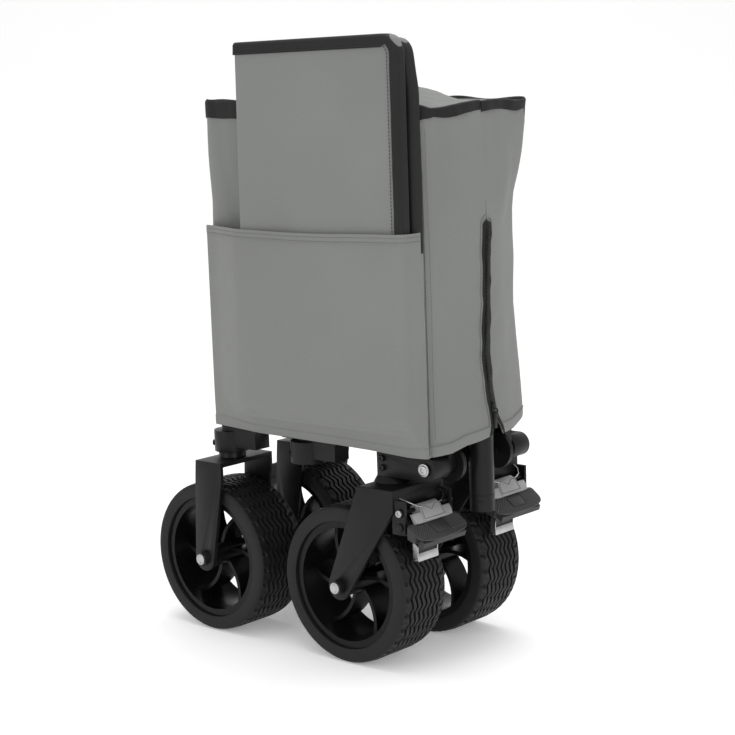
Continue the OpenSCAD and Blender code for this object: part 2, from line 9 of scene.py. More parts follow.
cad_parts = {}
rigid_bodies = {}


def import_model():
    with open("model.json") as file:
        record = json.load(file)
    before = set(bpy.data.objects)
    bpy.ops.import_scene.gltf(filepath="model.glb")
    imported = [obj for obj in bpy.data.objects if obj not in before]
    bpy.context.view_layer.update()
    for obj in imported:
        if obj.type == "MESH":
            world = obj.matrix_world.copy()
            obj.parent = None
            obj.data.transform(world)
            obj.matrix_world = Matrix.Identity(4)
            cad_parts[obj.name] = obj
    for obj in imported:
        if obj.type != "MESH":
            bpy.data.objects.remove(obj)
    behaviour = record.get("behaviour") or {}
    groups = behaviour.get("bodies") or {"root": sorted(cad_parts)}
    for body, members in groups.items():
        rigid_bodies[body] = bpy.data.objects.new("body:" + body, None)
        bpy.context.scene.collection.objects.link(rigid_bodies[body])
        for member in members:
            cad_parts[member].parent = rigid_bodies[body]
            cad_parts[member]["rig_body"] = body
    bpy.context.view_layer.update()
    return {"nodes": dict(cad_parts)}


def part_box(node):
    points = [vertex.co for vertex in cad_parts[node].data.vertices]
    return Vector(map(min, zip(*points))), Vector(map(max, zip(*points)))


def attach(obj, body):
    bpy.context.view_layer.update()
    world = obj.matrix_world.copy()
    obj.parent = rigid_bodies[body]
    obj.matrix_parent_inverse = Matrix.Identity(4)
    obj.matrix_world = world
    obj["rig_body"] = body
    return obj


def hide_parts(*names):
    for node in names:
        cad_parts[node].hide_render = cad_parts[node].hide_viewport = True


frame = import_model()
NODES = frame["nodes"]
MM = 0.001
SIDES = {"right": -1, "left": 1}
CORNERS = ("rear_right", "rear_left", "front_right", "front_left")


def centre_of(node):
    low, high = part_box(node)
    return (low + high) / 2


# ------------------------------------------------------------------ camera

LENS_MM = 86.34
SENSOR_MM = 36
CAMERA_AT = Vector((1.52955, -1.67014, 0.70623))
CAMERA_AIM = Vector((0.00851, 0.04404, 0.34484))
CAMERA_ROLL = math.radians(-2.002)


def add_camera():
    data = bpy.data.cameras.new("studio_camera")
    data.lens = LENS_MM
    data.sensor_width = SENSOR_MM
    camera = bpy.data.objects.new("studio_camera", data)
    bpy.context.scene.collection.objects.link(camera)
    camera.rotation_mode = "QUATERNION"
    look = (CAMERA_AIM - CAMERA_AT).to_track_quat("-Z", "Y")
    camera.rotation_quaternion = look @ Matrix.Rotation(CAMERA_ROLL, 3, "Z").to_quaternion()
    camera.location = CAMERA_AT
    bpy.context.scene.camera = camera


add_camera()

# ------------------------------------------------------------------ modelling helpers


def deselect():
    if bpy.context.object and bpy.context.object.mode != "OBJECT":
        bpy.ops.object.mode_set(mode="OBJECT")
    for o in bpy.context.view_layer.objects:
        o.select_set(False)


def activate(piece):
    deselect()
    piece.select_set(True)
    bpy.context.view_layer.objects.active = piece


def apply_modifiers(piece):
    activate(piece)
    for modifier in list(piece.modifiers):
        bpy.ops.object.modifier_apply(modifier=modifier.name)


def apply_place(piece):
    activate(piece)
    bpy.ops.object.transform_apply(location=True, rotation=True, scale=True)


def shade(piece, angle=35):
    activate(piece)
    bpy.ops.object.shade_smooth_by_angle(angle=math.radians(angle))


def edit_all(piece):
    activate(piece)
    bpy.ops.object.mode_set(mode="EDIT")
    bpy.ops.mesh.select_all(action="SELECT")


def object_mode():
    bpy.ops.object.mode_set(mode="OBJECT")


def merge_points(piece, distance=0.05 * MM, outward=True):
    edit_all(piece)
    bpy.ops.mesh.remove_doubles(threshold=distance)
    if outward:
        bpy.ops.mesh.normals_make_consistent(inside=False)
    object_mode()


def points_of(piece):
    co = np.empty(len(piece.data.vertices) * 3)
    piece.data.vertices.foreach_get("co", co)
    return co.reshape(-1, 3)


def set_points(piece, co):
    piece.data.vertices.foreach_set("co", np.asarray(co, float).ravel())
    piece.data.update()


def select_faces(piece, wanted):
    """Selects the faces for which wanted(centre, normal) is true, and leaves edit mode open."""
    activate(piece)
    bpy.ops.object.mode_set(mode="EDIT")
    bpy.ops.mesh.select_all(action="DESELECT")
    bpy.ops.mesh.select_mode(type="FACE")
    bpy.ops.object.mode_set(mode="OBJECT")
    for face in piece.data.polygons:
        face.select = bool(wanted(face.center, face.normal))
    bpy.ops.object.mode_set(mode="EDIT")


def join(pieces, name):
    activate(pieces[0])
    for piece in pieces[1:]:
        piece.select_set(True)
    bpy.ops.object.join()
    pieces[0].name = name
    return pieces[0]


def bevel(piece, width, segments=2, angle=40):
    modifier = piece.modifiers.new("edges", "BEVEL")
    modifier.width = width
    modifier.segments = segments
    modifier.limit_method = "ANGLE"
    modifier.angle_limit = math.radians(angle)
    modifier.harden_normals = False
    apply_modifiers(piece)


def solidify(piece, thickness, offset=-1):
    modifier = piece.modifiers.new("wall", "SOLIDIFY")
    modifier.thickness = thickness
    modifier.offset = offset
    apply_modifiers(piece)


def dress(piece, name, body, material, angle=35):
    """Names a finished piece, gives it its finish and puts it on its body."""
    piece.name = name
    piece.data.name = name
    piece.data.materials.clear()
    piece.data.materials.append(material)
    shade(piece, angle)
    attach(piece, body)
    return piece


def cloth_grid(columns, rows, place, width, height):
    """A grid sheet whose point (u, v) goes to place(u, v); its UV map is in metres of cloth."""
    deselect()
    bpy.ops.mesh.primitive_grid_add(x_subdivisions=columns, y_subdivisions=rows, size=1)
    piece = bpy.context.object
    flat = points_of(piece)
    u, v = flat[:, 0] + 0.5, flat[:, 1] + 0.5
    layer = piece.data.uv_layers.active or piece.data.uv_layers.new(name="UVMap")
    corner = np.empty(len(piece.data.loops), int)
    piece.data.loops.foreach_get("vertex_index", corner)
    layer.data.foreach_set("uv", np.stack([u[corner] * width, v[corner] * height], 1).ravel())
    set_points(piece, place(u, v))
    return piece


def tube_along(path, radius, sides=8, closed=False):
    """A round bead that follows the points of a path."""
    curve = bpy.data.curves.new("bead", "CURVE")
    curve.dimensions = "3D"
    curve.bevel_depth = radius
    curve.bevel_resolution = max(0, sides // 4 - 1)
    curve.use_fill_caps = True
    spline = curve.splines.new("POLY")
    spline.points.add(len(path) - 1)
    spline.use_cyclic_u = closed
    for point, at in zip(spline.points, path):
        point.co = (*at, 1)
    bead = bpy.data.objects.new("bead", curve)
    bpy.context.scene.collection.objects.link(bead)
    activate(bead)
    bpy.ops.object.convert(target="MESH")
    return bpy.context.object


def repeat(template, places, name):
    """One piece made of a copy of the template's mesh at every place, a 4x4 matrix each."""
    co = points_of(template)
    faces = [tuple(p.vertices) for p in template.data.polygons]
    every, all_faces = [], []
    for i, m in enumerate(places):
        every.append(co @ np.array(m.to_3x3()).T + np.array(m.translation))
        all_faces += [tuple(k + i * len(co) for k in f) for f in faces]
    mesh = bpy.data.meshes.new(name)
    mesh.from_pydata(np.concatenate(every).tolist(), [], all_faces)
    mesh.update()
    piece = bpy.data.objects.new(name, mesh)
    bpy.context.scene.collection.objects.link(piece)
    bpy.data.objects.remove(template)
    return piece


def frame_at(at, along, out):
    """A place whose X runs along a line and whose Z stands out from the surface."""
    x = Vector(along).normalized()
    z = Vector(out)
    z = (z - x * z.dot(x)).normalized()
    m = Matrix((x, z.cross(x), z)).transposed().to_4x4()
    m.translation = Vector(at)
    return m


def stitch_template(length=3.0 * MM, width=0.7 * MM, rise=0.45 * MM):
    deselect()
    bpy.ops.mesh.primitive_cube_add(size=1)
    piece = bpy.context.object
    piece.scale = (length, width, 2 * rise)
    apply_place(piece)
    select_faces(piece, lambda c, n: n.z > 0.9)
    bpy.ops.transform.resize(value=(0.6, 0.5, 1))
    object_mode()
    return piece


def stitches(lines, name, pitch=4.2 * MM):
    """Stitch rows along lines, each a list of (point, outward direction)."""
    places = []
    for line in lines:
        at = np.array([p for p, _ in line])
        out = np.array([n for _, n in line])
        run = np.r_[0, np.cumsum(np.linalg.norm(np.diff(at, axis=0), axis=1))]
        for s in np.arange(pitch / 2, run[-1], pitch):
            here = [np.interp(s, run, at[:, k]) for k in range(3)]
            ahead = [np.interp(min(s + 1.5 * MM, run[-1]), run, at[:, k]) for k in range(3)]
            back = [np.interp(max(s - 1.5 * MM, 0), run, at[:, k]) for k in range(3)]
            side = [np.interp(s, run, out[:, k]) for k in range(3)]
            places.append(frame_at(here, Vector(ahead) - Vector(back), side))
    return repeat(stitch_template(), places, name)


def waves(u, v, seed, terms=9):
    """Smooth random relief from -1 to 1, the same on every run."""
    draw = np.random.RandomState(seed)
    total = np.zeros_like(np.asarray(u, float))
    for _ in range(terms):
        turn = draw.uniform(0, 2 * math.pi)
        size = draw.uniform(0.6, 1.7)
        total += np.sin(2 * math.pi * size * (u * math.cos(turn) + v * math.sin(turn)) + draw.uniform(0, 7))
    return total / terms * 1.7


def ease(t):
    t = np.clip(t, 0, 1)
    return t * t * (3 - 2 * t)


# ------------------------------------------------------------------ finishes


def new_group(name, inputs, outputs):
    group = bpy.data.node_groups.new(name, "ShaderNodeTree")
    for socket, kind, value in inputs:
        made = group.interface.new_socket(socket, in_out="INPUT", socket_type=kind)
        if value is not None:
            made.default_value = value
    for socket, kind in outputs:
        group.interface.new_socket(socket, in_out="OUTPUT", socket_type=kind)
    return group, group.nodes.new("NodeGroupInput"), group.nodes.new("NodeGroupOutput")


def math_node(tree, operation, first, second=None, clamp=False):
    node = tree.nodes.new("ShaderNodeMath")
    node.operation = operation
    node.use_clamp = clamp
    for i, value in enumerate((first, second)):
        if value is None:
            continue
        if isinstance(value, (int, float)):
            node.inputs[i].default_value = value
        else:
            tree.links.new(value, node.inputs[i])
    return node.outputs[0]


def mix_colour(tree, factor, a, b):
    node = tree.nodes.new("ShaderNodeMix")
    node.data_type = "RGBA"
    for i, value in ((0, factor), (6, a), (7, b)):
        if isinstance(value, (int, float, tuple)):
            node.inputs[i].default_value = value
        else:
            tree.links.new(value, node.inputs[i])
    return node.outputs[2]


def noise_node(tree, vector, scale, detail=3, roughness=0.5):
    node = tree.nodes.new("ShaderNodeTexNoise")
    tree.links.new(vector, node.inputs["Vector"])
    if isinstance(scale, (int, float)):
        node.inputs["Scale"].default_value = scale
    else:
        tree.links.new(scale, node.inputs["Scale"])
    node.inputs["Detail"].default_value = detail
    node.inputs["Roughness"].default_value = roughness
    return node.outputs["Fac"]


def weave_group():
    """Plain weave in metres of cloth: thread height, and the shade of each thread."""
    group, given, out = new_group(
        "plain_weave",
        [("Cloth", "NodeSocketVector", None), ("Pitch", "NodeSocketFloat", 0.0009)],
        [("Height", "NodeSocketFloat"), ("Shade", "NodeSocketFloat")],
    )
    split = group.nodes.new("ShaderNodeSeparateXYZ")
    group.links.new(given.outputs["Cloth"], split.inputs[0])
    turn = math_node(group, "DIVIDE", math.pi, given.outputs["Pitch"])
    warp = math_node(group, "SINE", math_node(group, "MULTIPLY", split.outputs[0], turn))
    weft = math_node(group, "SINE", math_node(group, "MULTIPLY", split.outputs[1], turn))
    crossing = math_node(group, "MULTIPLY", warp, weft)
    height = math_node(group, "ADD", math_node(group, "MULTIPLY", crossing, 0.5), 0.5)
    slub = noise_node(group, given.outputs["Cloth"], 260, 2)
    group.links.new(height, out.inputs["Height"])
    group.links.new(slub, out.inputs["Shade"])
    return group


def grain_group():
    """Fine moulded or powder-coated grain, with slow patches where the surface is smoother."""
    group, given, out = new_group(
        "surface_grain",
        [
            ("Place", "NodeSocketVector", None),
            ("Fine", "NodeSocketFloat", 900.0),
            ("Slow", "NodeSocketFloat", 14.0),
        ],
        [("Height", "NodeSocketFloat"), ("Patch", "NodeSocketFloat")],
    )
    group.links.new(noise_node(group, given.outputs["Place"], given.outputs["Fine"], 2), out.inputs["Height"])
    group.links.new(noise_node(group, given.outputs["Place"], given.outputs["Slow"], 4), out.inputs["Patch"])
    return group


WEAVE = weave_group()
GRAIN = grain_group()


def new_finish(name):
    material = bpy.data.materials.new(name)
    material.use_nodes = True
    tree = material.node_tree
    shader = next(n for n in tree.nodes if n.type == "BSDF_PRINCIPLED")
    return material, tree, shader


def use_group(tree, group, **values):
    node = tree.nodes.new("ShaderNodeGroup")
    node.node_tree = group
    for key, value in values.items():
        if isinstance(value, (int, float)):
            node.inputs[key].default_value = value
        else:
            tree.links.new(value, node.inputs[key])
    return node


def place_of(tree, uv=False):
    node = tree.nodes.new("ShaderNodeTexCoord")
    return node.outputs["UV" if uv else "Object"]


def ramp(tree, value, low, high, out_low, out_high):
    node = tree.nodes.new("ShaderNodeMapRange")
    tree.links.new(value, node.inputs["Value"])
    for key, number in (("From Min", low), ("From Max", high), ("To Min", out_low), ("To Max", out_high)):
        node.inputs[key].default_value = number
    return node.outputs["Result"]


def bump(tree, shader, height, distance, strength=1.0):
    node = tree.nodes.new("ShaderNodeBump")
    node.inputs["Distance"].default_value = distance
    node.inputs["Strength"].default_value = strength
    tree.links.new(height, node.inputs["Height"])
    tree.links.new(node.outputs["Normal"], shader.inputs["Normal"])


def cloth_finish(name, dark, light, pitch, relief, sheen, uv=True, roughness=(0.72, 0.86)):
    material, tree, shader = new_finish(name)
    cloth = place_of(tree, uv)
    weave = use_group(tree, WEAVE, Cloth=cloth, Pitch=pitch)
    patch = noise_node(tree, place_of(tree), 5.0, 4)
    tone_and_weave_shade = math_node(tree, "ADD", math_node(tree, "MULTIPLY", weave.outputs["Shade"], 0.2),
                         math_node(tree, "MULTIPLY", patch, 0.8))
    # thread height lightens the crests and darkens the gaps between threads: painted shade in the weave,
    # added to the real tone of slubs and patches
    tone_and_weave_shade = math_node(tree, "ADD", tone_and_weave_shade, math_node(tree, "MULTIPLY", weave.outputs["Height"], 0.12))
    colour = mix_colour(tree, ramp(tree, tone_and_weave_shade, 0.3, 0.75, 0, 1), dark, light)
    tree.links.new(colour, shader.inputs["Base Color"])
    tree.links.new(ramp(tree, patch, 0.3, 0.7, *roughness), shader.inputs["Roughness"])
    shader.inputs["Sheen Weight"].default_value = sheen
    shader.inputs["Sheen Roughness"].default_value = 0.45
    shader.inputs["Specular IOR Level"].default_value = 0.35
    bump(tree, shader, weave.outputs["Height"], relief, 0.6)
    return material


def solid_finish(name, dark, light, roughness, fine=900.0, relief=0.00008, metallic=0.0, slow=14.0,
                 gloss=0.5):
    material, tree, shader = new_finish(name)
    grain = use_group(tree, GRAIN, Place=place_of(tree), Fine=fine, Slow=slow)
    tree.links.new(mix_colour(tree, ramp(tree, grain.outputs["Patch"], 0.3, 0.7, 0, 1), dark, light),
                   shader.inputs["Base Color"])
    tree.links.new(ramp(tree, grain.outputs["Patch"], 0.3, 0.7, *roughness), shader.inputs["Roughness"])
    shader.inputs["Metallic"].default_value = metallic
    shader.inputs["Specular IOR Level"].default_value = gloss
    bump(tree, shader, grain.outputs["Height"], relief)
    return material


def grey(value, tint=0.0):
    return (value, value * (1 + tint), value * (1 - tint * 0.4), 1)


CANVAS = cloth_finish("grey_canvas", grey(0.160, 0.03), grey(0.192, 0.03), 0.0009, 0.00012, 0.08)
WEBBING = cloth_finish("black_webbing", grey(0.002), grey(0.008), 0.0016, 0.0005, 0.012, roughness=(0.6, 0.8))
THREAD = solid_finish("grey_thread", grey(0.09), grey(0.13), (0.6, 0.8), 600, 0.0001)
DARK_THREAD = solid_finish("black_thread", grey(0.012), grey(0.022), (0.55, 0.7), 600, 0.0001)
POWDER = solid_finish("black_powder_coat", grey(0.004), grey(0.008), (0.32, 0.46), 1400, 0.00006, gloss=0.2)
RUBBER = solid_finish("tyre_rubber", grey(0.009), grey(0.015), (0.5, 0.66), 1500, 0.00008, slow=22, gloss=0.2)
TREAD = solid_finish("tread_rubber", grey(0.007), grey(0.013), (0.42, 0.6), 1100, 0.0001, slow=30, gloss=0.22)
WHEEL_PLASTIC = solid_finish("wheel_plastic", grey(0.003), grey(0.005), (0.24, 0.36), 1200, 0.00005,
                             gloss=0.16)
HANDLE_PLASTIC = solid_finish("handle_plastic", grey(0.006), grey(0.010), (0.3, 0.45), 1000, 0.00005,
                              gloss=0.2)
PEDAL_RUBBER = solid_finish("pedal_rubber", grey(0.022), grey(0.034), (0.42, 0.56), 900, 0.0001, gloss=0.3)
# painted highlight: the brake pedal's ribs are the pad's own rubber, given a lighter grey that paints the
# highlights along their edges
PEDAL_RIB_PAINTED_HIGHLIGHT = solid_finish("pedal_rib_painted_highlight", grey(0.05), grey(0.075), (0.4, 0.5), 900, 0.00006, gloss=0.35)
RELEASE = solid_finish("release_plastic", grey(0.25, 0.01), grey(0.31, 0.01), (0.35, 0.5), 900, 0.00006,
                       gloss=0.4)
# painted shade: near-black beads along the release pedal's tab edges and chevron stand for the shade there
RELEASE_PAINTED_SHADE = solid_finish("release_painted_shade", grey(0.05), grey(0.08), (0.45, 0.6), 900, 0.00006, gloss=0.3)
STEEL = solid_finish("bright_steel", grey(0.34), grey(0.48), (0.24, 0.38), 700, 0.00004, 1.0, 60)
DARK_STEEL = solid_finish("dark_fitting", grey(0.012), grey(0.03), (0.25, 0.4), 900, 0.00005, 0.5, gloss=0.3)

NODE_FINISH = {
    "tyre_": RUBBER, "rim_": WHEEL_PLASTIC, "axle_": DARK_STEEL, "brake_pedal_": PEDAL_RUBBER,
    "release_pedal_": RELEASE, "handle_": HANDLE_PLASTIC,
}


def dress_frame():
    """Every CAD node that stays gets a finish of its own."""
    for name, node in NODES.items():
        finish = next((f for start, f in NODE_FINISH.items() if name.startswith(start)), POWDER)
        node.data.materials.clear()
        node.data.materials.append(finish)


dress_frame()

# ------------------------------------------------------------------ cover

MID_Y = centre_of("handle_tube").y
WALL_BACK, WALL_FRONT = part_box("cover_top_binding")[0].x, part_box("handle_tube")[1].x - 17.5 * MM
WALL_RIGHT, WALL_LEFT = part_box("cover_top_binding")[0].y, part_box("cover_top_binding")[1].y
NOSE_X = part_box("cover_top_binding")[1].x
HEM_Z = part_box("cover_shell")[0].z
TOP_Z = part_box("cover_top_binding")[1].z
POCKET_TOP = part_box("cover_pocket")[1].z
BAND_H = 22 * MM
CAPS_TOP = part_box("slide_front_right")[1].z

PERIMETER = [  # corner names counterclockwise from the slit, with the cloth's length between them
    ("slit", 0), ("nose_left", 34), ("front_left", 64), ("rear_left", 366), ("back_left", 21),
    ("back_right", 150), ("rear_right", 21), ("front_right", 366), ("nose_right", 64), ("slit", 34),
]
AROUND = sum(length for _, length in PERIMETER) * MM
COLUMNS = 224
ROWS = 84
CORNER_U = np.cumsum([length for _, length in PERIMETER]) * MM / AROUND
U_FRONT_LEFT, U_REAR_LEFT, U_REAR_RIGHT, U_FRONT_RIGHT = CORNER_U[2], CORNER_U[3], CORNER_U[6], CORNER_U[7]


def corner_places(z):
    """The cover's plan at heights z: an (n, 10, 2) array of corner places, in metres."""
    z = np.asarray(z, float) / MM
    flare = np.interp(z, [276, 311, 374, 436, 499, 556, 575, 600, 624, 661, 690],
                      [0, 0, -4, -8, -7, -9, -7, 0, 5, 11, 12])
    nose = np.interp(z, [276, 300, 330, 389, 450, 545, 600, 640, 700],
                     [250.5, 248.5, 246, 245.5, 246.5, 244.5, 243, 241.5, 236])
    ones = np.ones_like(z)
    back = WALL_BACK / MM
    right, left = WALL_RIGHT / MM, WALL_LEFT / MM
    front = WALL_FRONT / MM
    rear_in = np.interp(z, [276, 400, 500, 570, 630, 700], [6, 7, 14, 21, 16, 14])
    mid = MID_Y / MM
    slit_y = mid + np.interp(z, [276, 297, 328, 360, 389, 450, 500, 545, 700],
                             [-3, 1, -7, -14, -18, -13, -8, -2, 0])
    shoulder_x = nose - np.interp(z, [276, 545, 600, 700], [5, 3, 0.5, 2])
    shoulder_y = np.interp(z, [276, 545, 600, 700], [27, 30, 47, 50])
    rows = [
        (nose, slit_y),
        (shoulder_x, mid + shoulder_y),
        (front * ones + 0.75 * flare, left * ones + 0.66 * flare),
        ((back + 6) * ones, left * ones),
        ((back - 1.0) * ones, (left - 20) * ones),
        ((back - 1.0) * ones, (right + 20) * ones),
        (back + rear_in, right * ones),
        (front * ones, right * ones),
        (shoulder_x, mid - shoulder_y),
        (nose, slit_y),
    ]
    return np.stack([np.stack(r, -1) for r in rows], 1) * MM


def cover_ring(z, smooth=1.6):
    """Points of the cover's plan at each height in z, an (n, COLUMNS + 1, 2) array."""
    places = corner_places(z)
    u = np.linspace(0, 1, COLUMNS + 1)
    ring = np.empty((len(places), COLUMNS + 1, 2))
    for axis in (0, 1):
        for i, corners in enumerate(places[:, :, axis]):
            ring[i, :, axis] = np.interp(u, CORNER_U, corners)
    reach = int(4 * smooth) + 1
    kernel = np.exp(-0.5 * (np.arange(-reach, reach + 1) / smooth) ** 2)
    kernel /= kernel.sum()
    loop = ring[:, :-1]
    padded = np.concatenate([loop[:, -reach:], loop, loop[:, :reach]], 1)
    for axis in (0, 1):
        for i in range(len(ring)):
            ring[i, :-1, axis] = np.convolve(padded[i, :, axis], kernel, "valid")
    ring[:, -1] = ring[:, 0]
    return ring


def ring_outward(ring):
    """Unit outward directions of a ring, in plan."""
    loop = ring[:, :-1]
    along = np.roll(loop, -1, 1) - np.roll(loop, 1, 1)
    out = np.stack([along[..., 1], -along[..., 0]], -1)
    out /= np.maximum(np.linalg.norm(out, axis=-1, keepdims=True), 1e-9)
    return np.concatenate([out, out[:, :1]], 1)


def hem_height(u):
    """How high the hem hangs, lowest round the right front corner."""
    at = [0, U_FRONT_LEFT * 0.5, U_FRONT_LEFT, U_REAR_LEFT, U_REAR_RIGHT, U_REAR_RIGHT + 0.13,
          U_REAR_RIGHT + 0.25, U_FRONT_RIGHT - 0.02, U_FRONT_RIGHT, U_FRONT_RIGHT + 0.025, 0.955, 1]
    z = [287, 287, 294, 282, 278, 276, 275, 272, 272, 274, 281, 289]
    return np.interp(u, at, z) * MM


def top_height(u):
    """Height of the bound top edge."""
    at = [0, U_FRONT_LEFT, U_REAR_LEFT, U_REAR_RIGHT - 0.03, U_REAR_RIGHT, U_REAR_RIGHT + 0.03,
          U_FRONT_RIGHT - 0.1, U_FRONT_RIGHT, U_FRONT_RIGHT + 0.015, U_FRONT_RIGHT + 0.05, 1]
    z = [689, 691, 699, 699, 704, 699, 694, 687, 684, 688, 689]
    return (np.interp(u, at, z) + 1.3 * np.sin(u * 61) * np.sin(u * 23 + 1)) * MM


def slit_open(z):
    """How far the near and the far flap stand from the slit's line, in metres."""
    low = 1 - ease((z / MM - 276) / 48)
    return 12 * MM * low, 15 * MM * low


def folds(u, z):
    """Relief of the cover's walls, outward, in metres."""
    top = top_height(u)
    below = (top - BAND_H - z) / MM
    depth = 1.2 * waves(u * 7.5, z / 0.2, 3) + 0.8 * waves(u * 16, z / 0.09, 8)
    pucker = 1.3 * np.sin(u * AROUND / MM / 3.4) * waves(u * 30, z * 0, 5)
    pucker = pucker * np.exp(-np.clip(below, 0, 400) / 20)
    slit_away = np.minimum(u, 1 - u) * AROUND / MM
    drawn = 1.1 * np.sin(z / MM / 7.5 + 3 * waves(u * 9, z / 0.08, 14))
    drawn = drawn * np.exp(-((slit_away - 17) / 10) ** 2)
    pucker = pucker + drawn * ease((550 - z / MM) / 30) * ease((z / MM - 290) / 30)
    front_near = (u > U_FRONT_RIGHT)
    front_far = (u < U_FRONT_LEFT)
    t_near = (u - U_FRONT_RIGHT) / (1 - U_FRONT_RIGHT)
    t_far = u / U_FRONT_LEFT
    high = ease((z / MM - 300) / 80) * ease((690 - z / MM) / 60)
    dish = np.where(front_near, -1.0 * np.sin(math.pi * np.clip(t_near, 0, 1)) * high, 0)
    dish = dish + np.where(front_far, -1.0 * np.sin(math.pi * np.clip(t_far, 0, 1)) * high, 0)
    # a soft dart falls from the top right-hand rear corner
    dart_u = U_REAR_RIGHT + 0.018 + 0.00016 * below
    dart = -2.6 * np.exp(-(((u - dart_u) / 0.0085) ** 2)) * np.exp(-np.clip(below, 0, 400) / 150)
    side = 1.8 * np.sin(math.pi * np.clip((u - U_FRONT_LEFT) / (U_REAR_LEFT - U_FRONT_LEFT), 0, 1)) * high
    on_left = (u > U_FRONT_LEFT) & (u < U_REAR_LEFT)
    side = side + 1.2 * np.sin(2 * math.pi * (u * 9 + z * 2.2)) * on_left * high
    drag_u = U_FRONT_LEFT * 0.35 + below * 0.00028
    drag = -1.6 * np.exp(-(((u - drag_u) / 0.012) ** 2)) * np.exp(-np.clip(below, 0, 400) / 120)
    return (depth + pucker + dish + dart + side + drag) * MM


def wall_points(u, v, out_by=0.0):
    """The cover wall's surface at cloth places u, v: v runs from the hem to the top edge."""
    z = hem_height(u) + v * (top_height(u) - 2 * MM - hem_height(u))
    levels = np.linspace(0.26, 0.71, 91)
    rings = cover_ring(levels)
    outs = ring_outward(rings)
    column = u * COLUMNS
    left = np.clip(column.astype(int), 0, COLUMNS - 1)
    f = (column - left)[:, None]
    row = (z - levels[0]) / (levels[1] - levels[0])
    low = np.clip(row.astype(int), 0, len(levels) - 2)
    g = (row - low)[:, None]

    def sample(table):
        a = table[low, left] * (1 - f) + table[low, left + 1] * f
        b = table[low + 1, left] * (1 - f) + table[low + 1, left + 1] * f
        return a * (1 - g) + b * g

    plan = sample(rings)
    out = sample(outs)
    plan = plan + out * (folds(u, z) + out_by)[:, None]
    near, far = slit_open(z)
    plan[:, 1] += far * np.exp(-u * AROUND / MM / 26) - near * np.exp(-(1 - u) * AROUND / MM / 26)
    low_edge = np.exp(-(z - hem_height(u)) / (30 * MM))
    flare = np.exp(-u * AROUND / MM / 40) + np.exp(-(1 - u) * AROUND / MM / 40)
    plan[:, 0] += 2.5 * MM * low_edge * flare
    return np.stack([plan[:, 0], plan[:, 1], z], 1)


def wall_line(u, v, out_by=0.0):
    """A line on the wall as (point, outward) pairs, for stitches and seams."""
    u, v = np.broadcast_arrays(np.asarray(u, float), np.asarray(v, float))
    at = wall_points(u, v, np.full(len(u), out_by))
    further = wall_points(u, v, np.full(len(u), out_by + 1 * MM))
    return [(tuple(a), tuple(b - a)) for a, b in zip(at, further)]


SLIT_TOP_V = (POCKET_TOP + 5 * MM - HEM_Z) / (TOP_Z - HEM_Z)


def cover_wall():
    wall = cloth_grid(COLUMNS, ROWS, lambda u, v: wall_points(u, v, np.zeros_like(u)), AROUND, TOP_Z - HEM_Z)
    # the two edges are one seam above the zip
    activate(wall)
    bpy.ops.object.mode_set(mode="EDIT")
    bpy.ops.mesh.select_mode(type="VERT")
    bpy.ops.mesh.select_all(action="DESELECT")
    bpy.ops.object.mode_set(mode="OBJECT")
    for vertex in wall.data.vertices:
        vertex.select = vertex.co.x > NOSE_X - 20 * MM and abs(vertex.co.y - MID_Y) < 12 * MM and \
            vertex.co.z > POCKET_TOP + 4 * MM
    bpy.ops.object.mode_set(mode="EDIT")
    bpy.ops.mesh.remove_doubles(threshold=0.3 * MM)
    object_mode()
    solidify(wall, 1.1 * MM)
    dress(wall, "cover_wall", "cover", CANVAS, 60)
    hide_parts("cover_shell")
    return wall


def cover_hem():
    """The turned-up hem, a second layer on the lowest 15 mm, with its roll below."""
    def place(u, v):
        height = 15 * MM / (TOP_Z - HEM_Z)
        out_by = 0.9 * MM * np.sin(np.pi * np.clip(v * 1.02, 0, 1)) ** 0.4 + 0.15 * MM
        at = wall_points(u, v * height, out_by)
        at[:, 2] -= 0.8 * MM * (1 - v) ** 6
        return at
    hem = cloth_grid(COLUMNS, 6, place, AROUND, 15 * MM)
    solidify(hem, 0.9 * MM)
    return dress(hem, "cover_hem", "cover", CANVAS, 60)


def cover_band():
    """Black binding folded over the top edge."""
    def place(u, v):
        edge = wall_points(u, np.ones_like(u), np.zeros_like(u))
        lower = wall_points(u, np.full_like(u, 0.94), np.full_like(u, 0.0))
        out = wall_points(u, np.ones_like(u), np.full_like(u, 1 * MM)) - edge
        out /= np.linalg.norm(out, axis=1, keepdims=True)
        front = np.clip(np.minimum((u - U_FRONT_RIGHT + 0.02) / 0.04, 1), 0, 1) + (u < U_FRONT_LEFT * 0.9)
        drop = BAND_H - 10.5 * MM * np.clip(front, 0, 1) * (1 + 0.14 * np.sin(u * 90))
        drop = drop + 0.9 * MM * np.sin(u * 47)
        wave = 1.3 * MM * waves(u * 22, v * 0.4, 12) + 0.8 * MM * np.sin(u * 130)
        spread = np.interp(v, [0, 0.42, 0.5, 0.58, 1], [1.3, 2.4, 0.2, -2.2, -1.6]) * MM
        spread = spread + wave * (1 - np.abs(v - 0.25))
        rise = np.interp(v, [0, 0.42, 0.5, 0.58, 1], [-1, -0.06, 0.06, -0.06, -0.8])
        z = edge[:, 2] + rise * drop + 1.0 * MM * np.sin(u * 70 + 1) * (v > 0.3)
        lean = (lower - edge) * (-rise * drop / np.maximum(edge[:, 2] - lower[:, 2], 1e-6))[:, None]
        at = edge + out * spread[:, None]
        at[:, :2] += np.where(rise < 0, 1, 0)[:, None] * lean[:, :2]
        at[:, 2] = z
        return at
    band = cloth_grid(COLUMNS, 22, place, AROUND, 0.045)
    merge_points(band, 0.2 * MM, outward=False)
    solidify(band, 1.0 * MM)
    dress(band, "cover_band", "cover", WEBBING, 60)
    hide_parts("cover_top_binding")
    return band


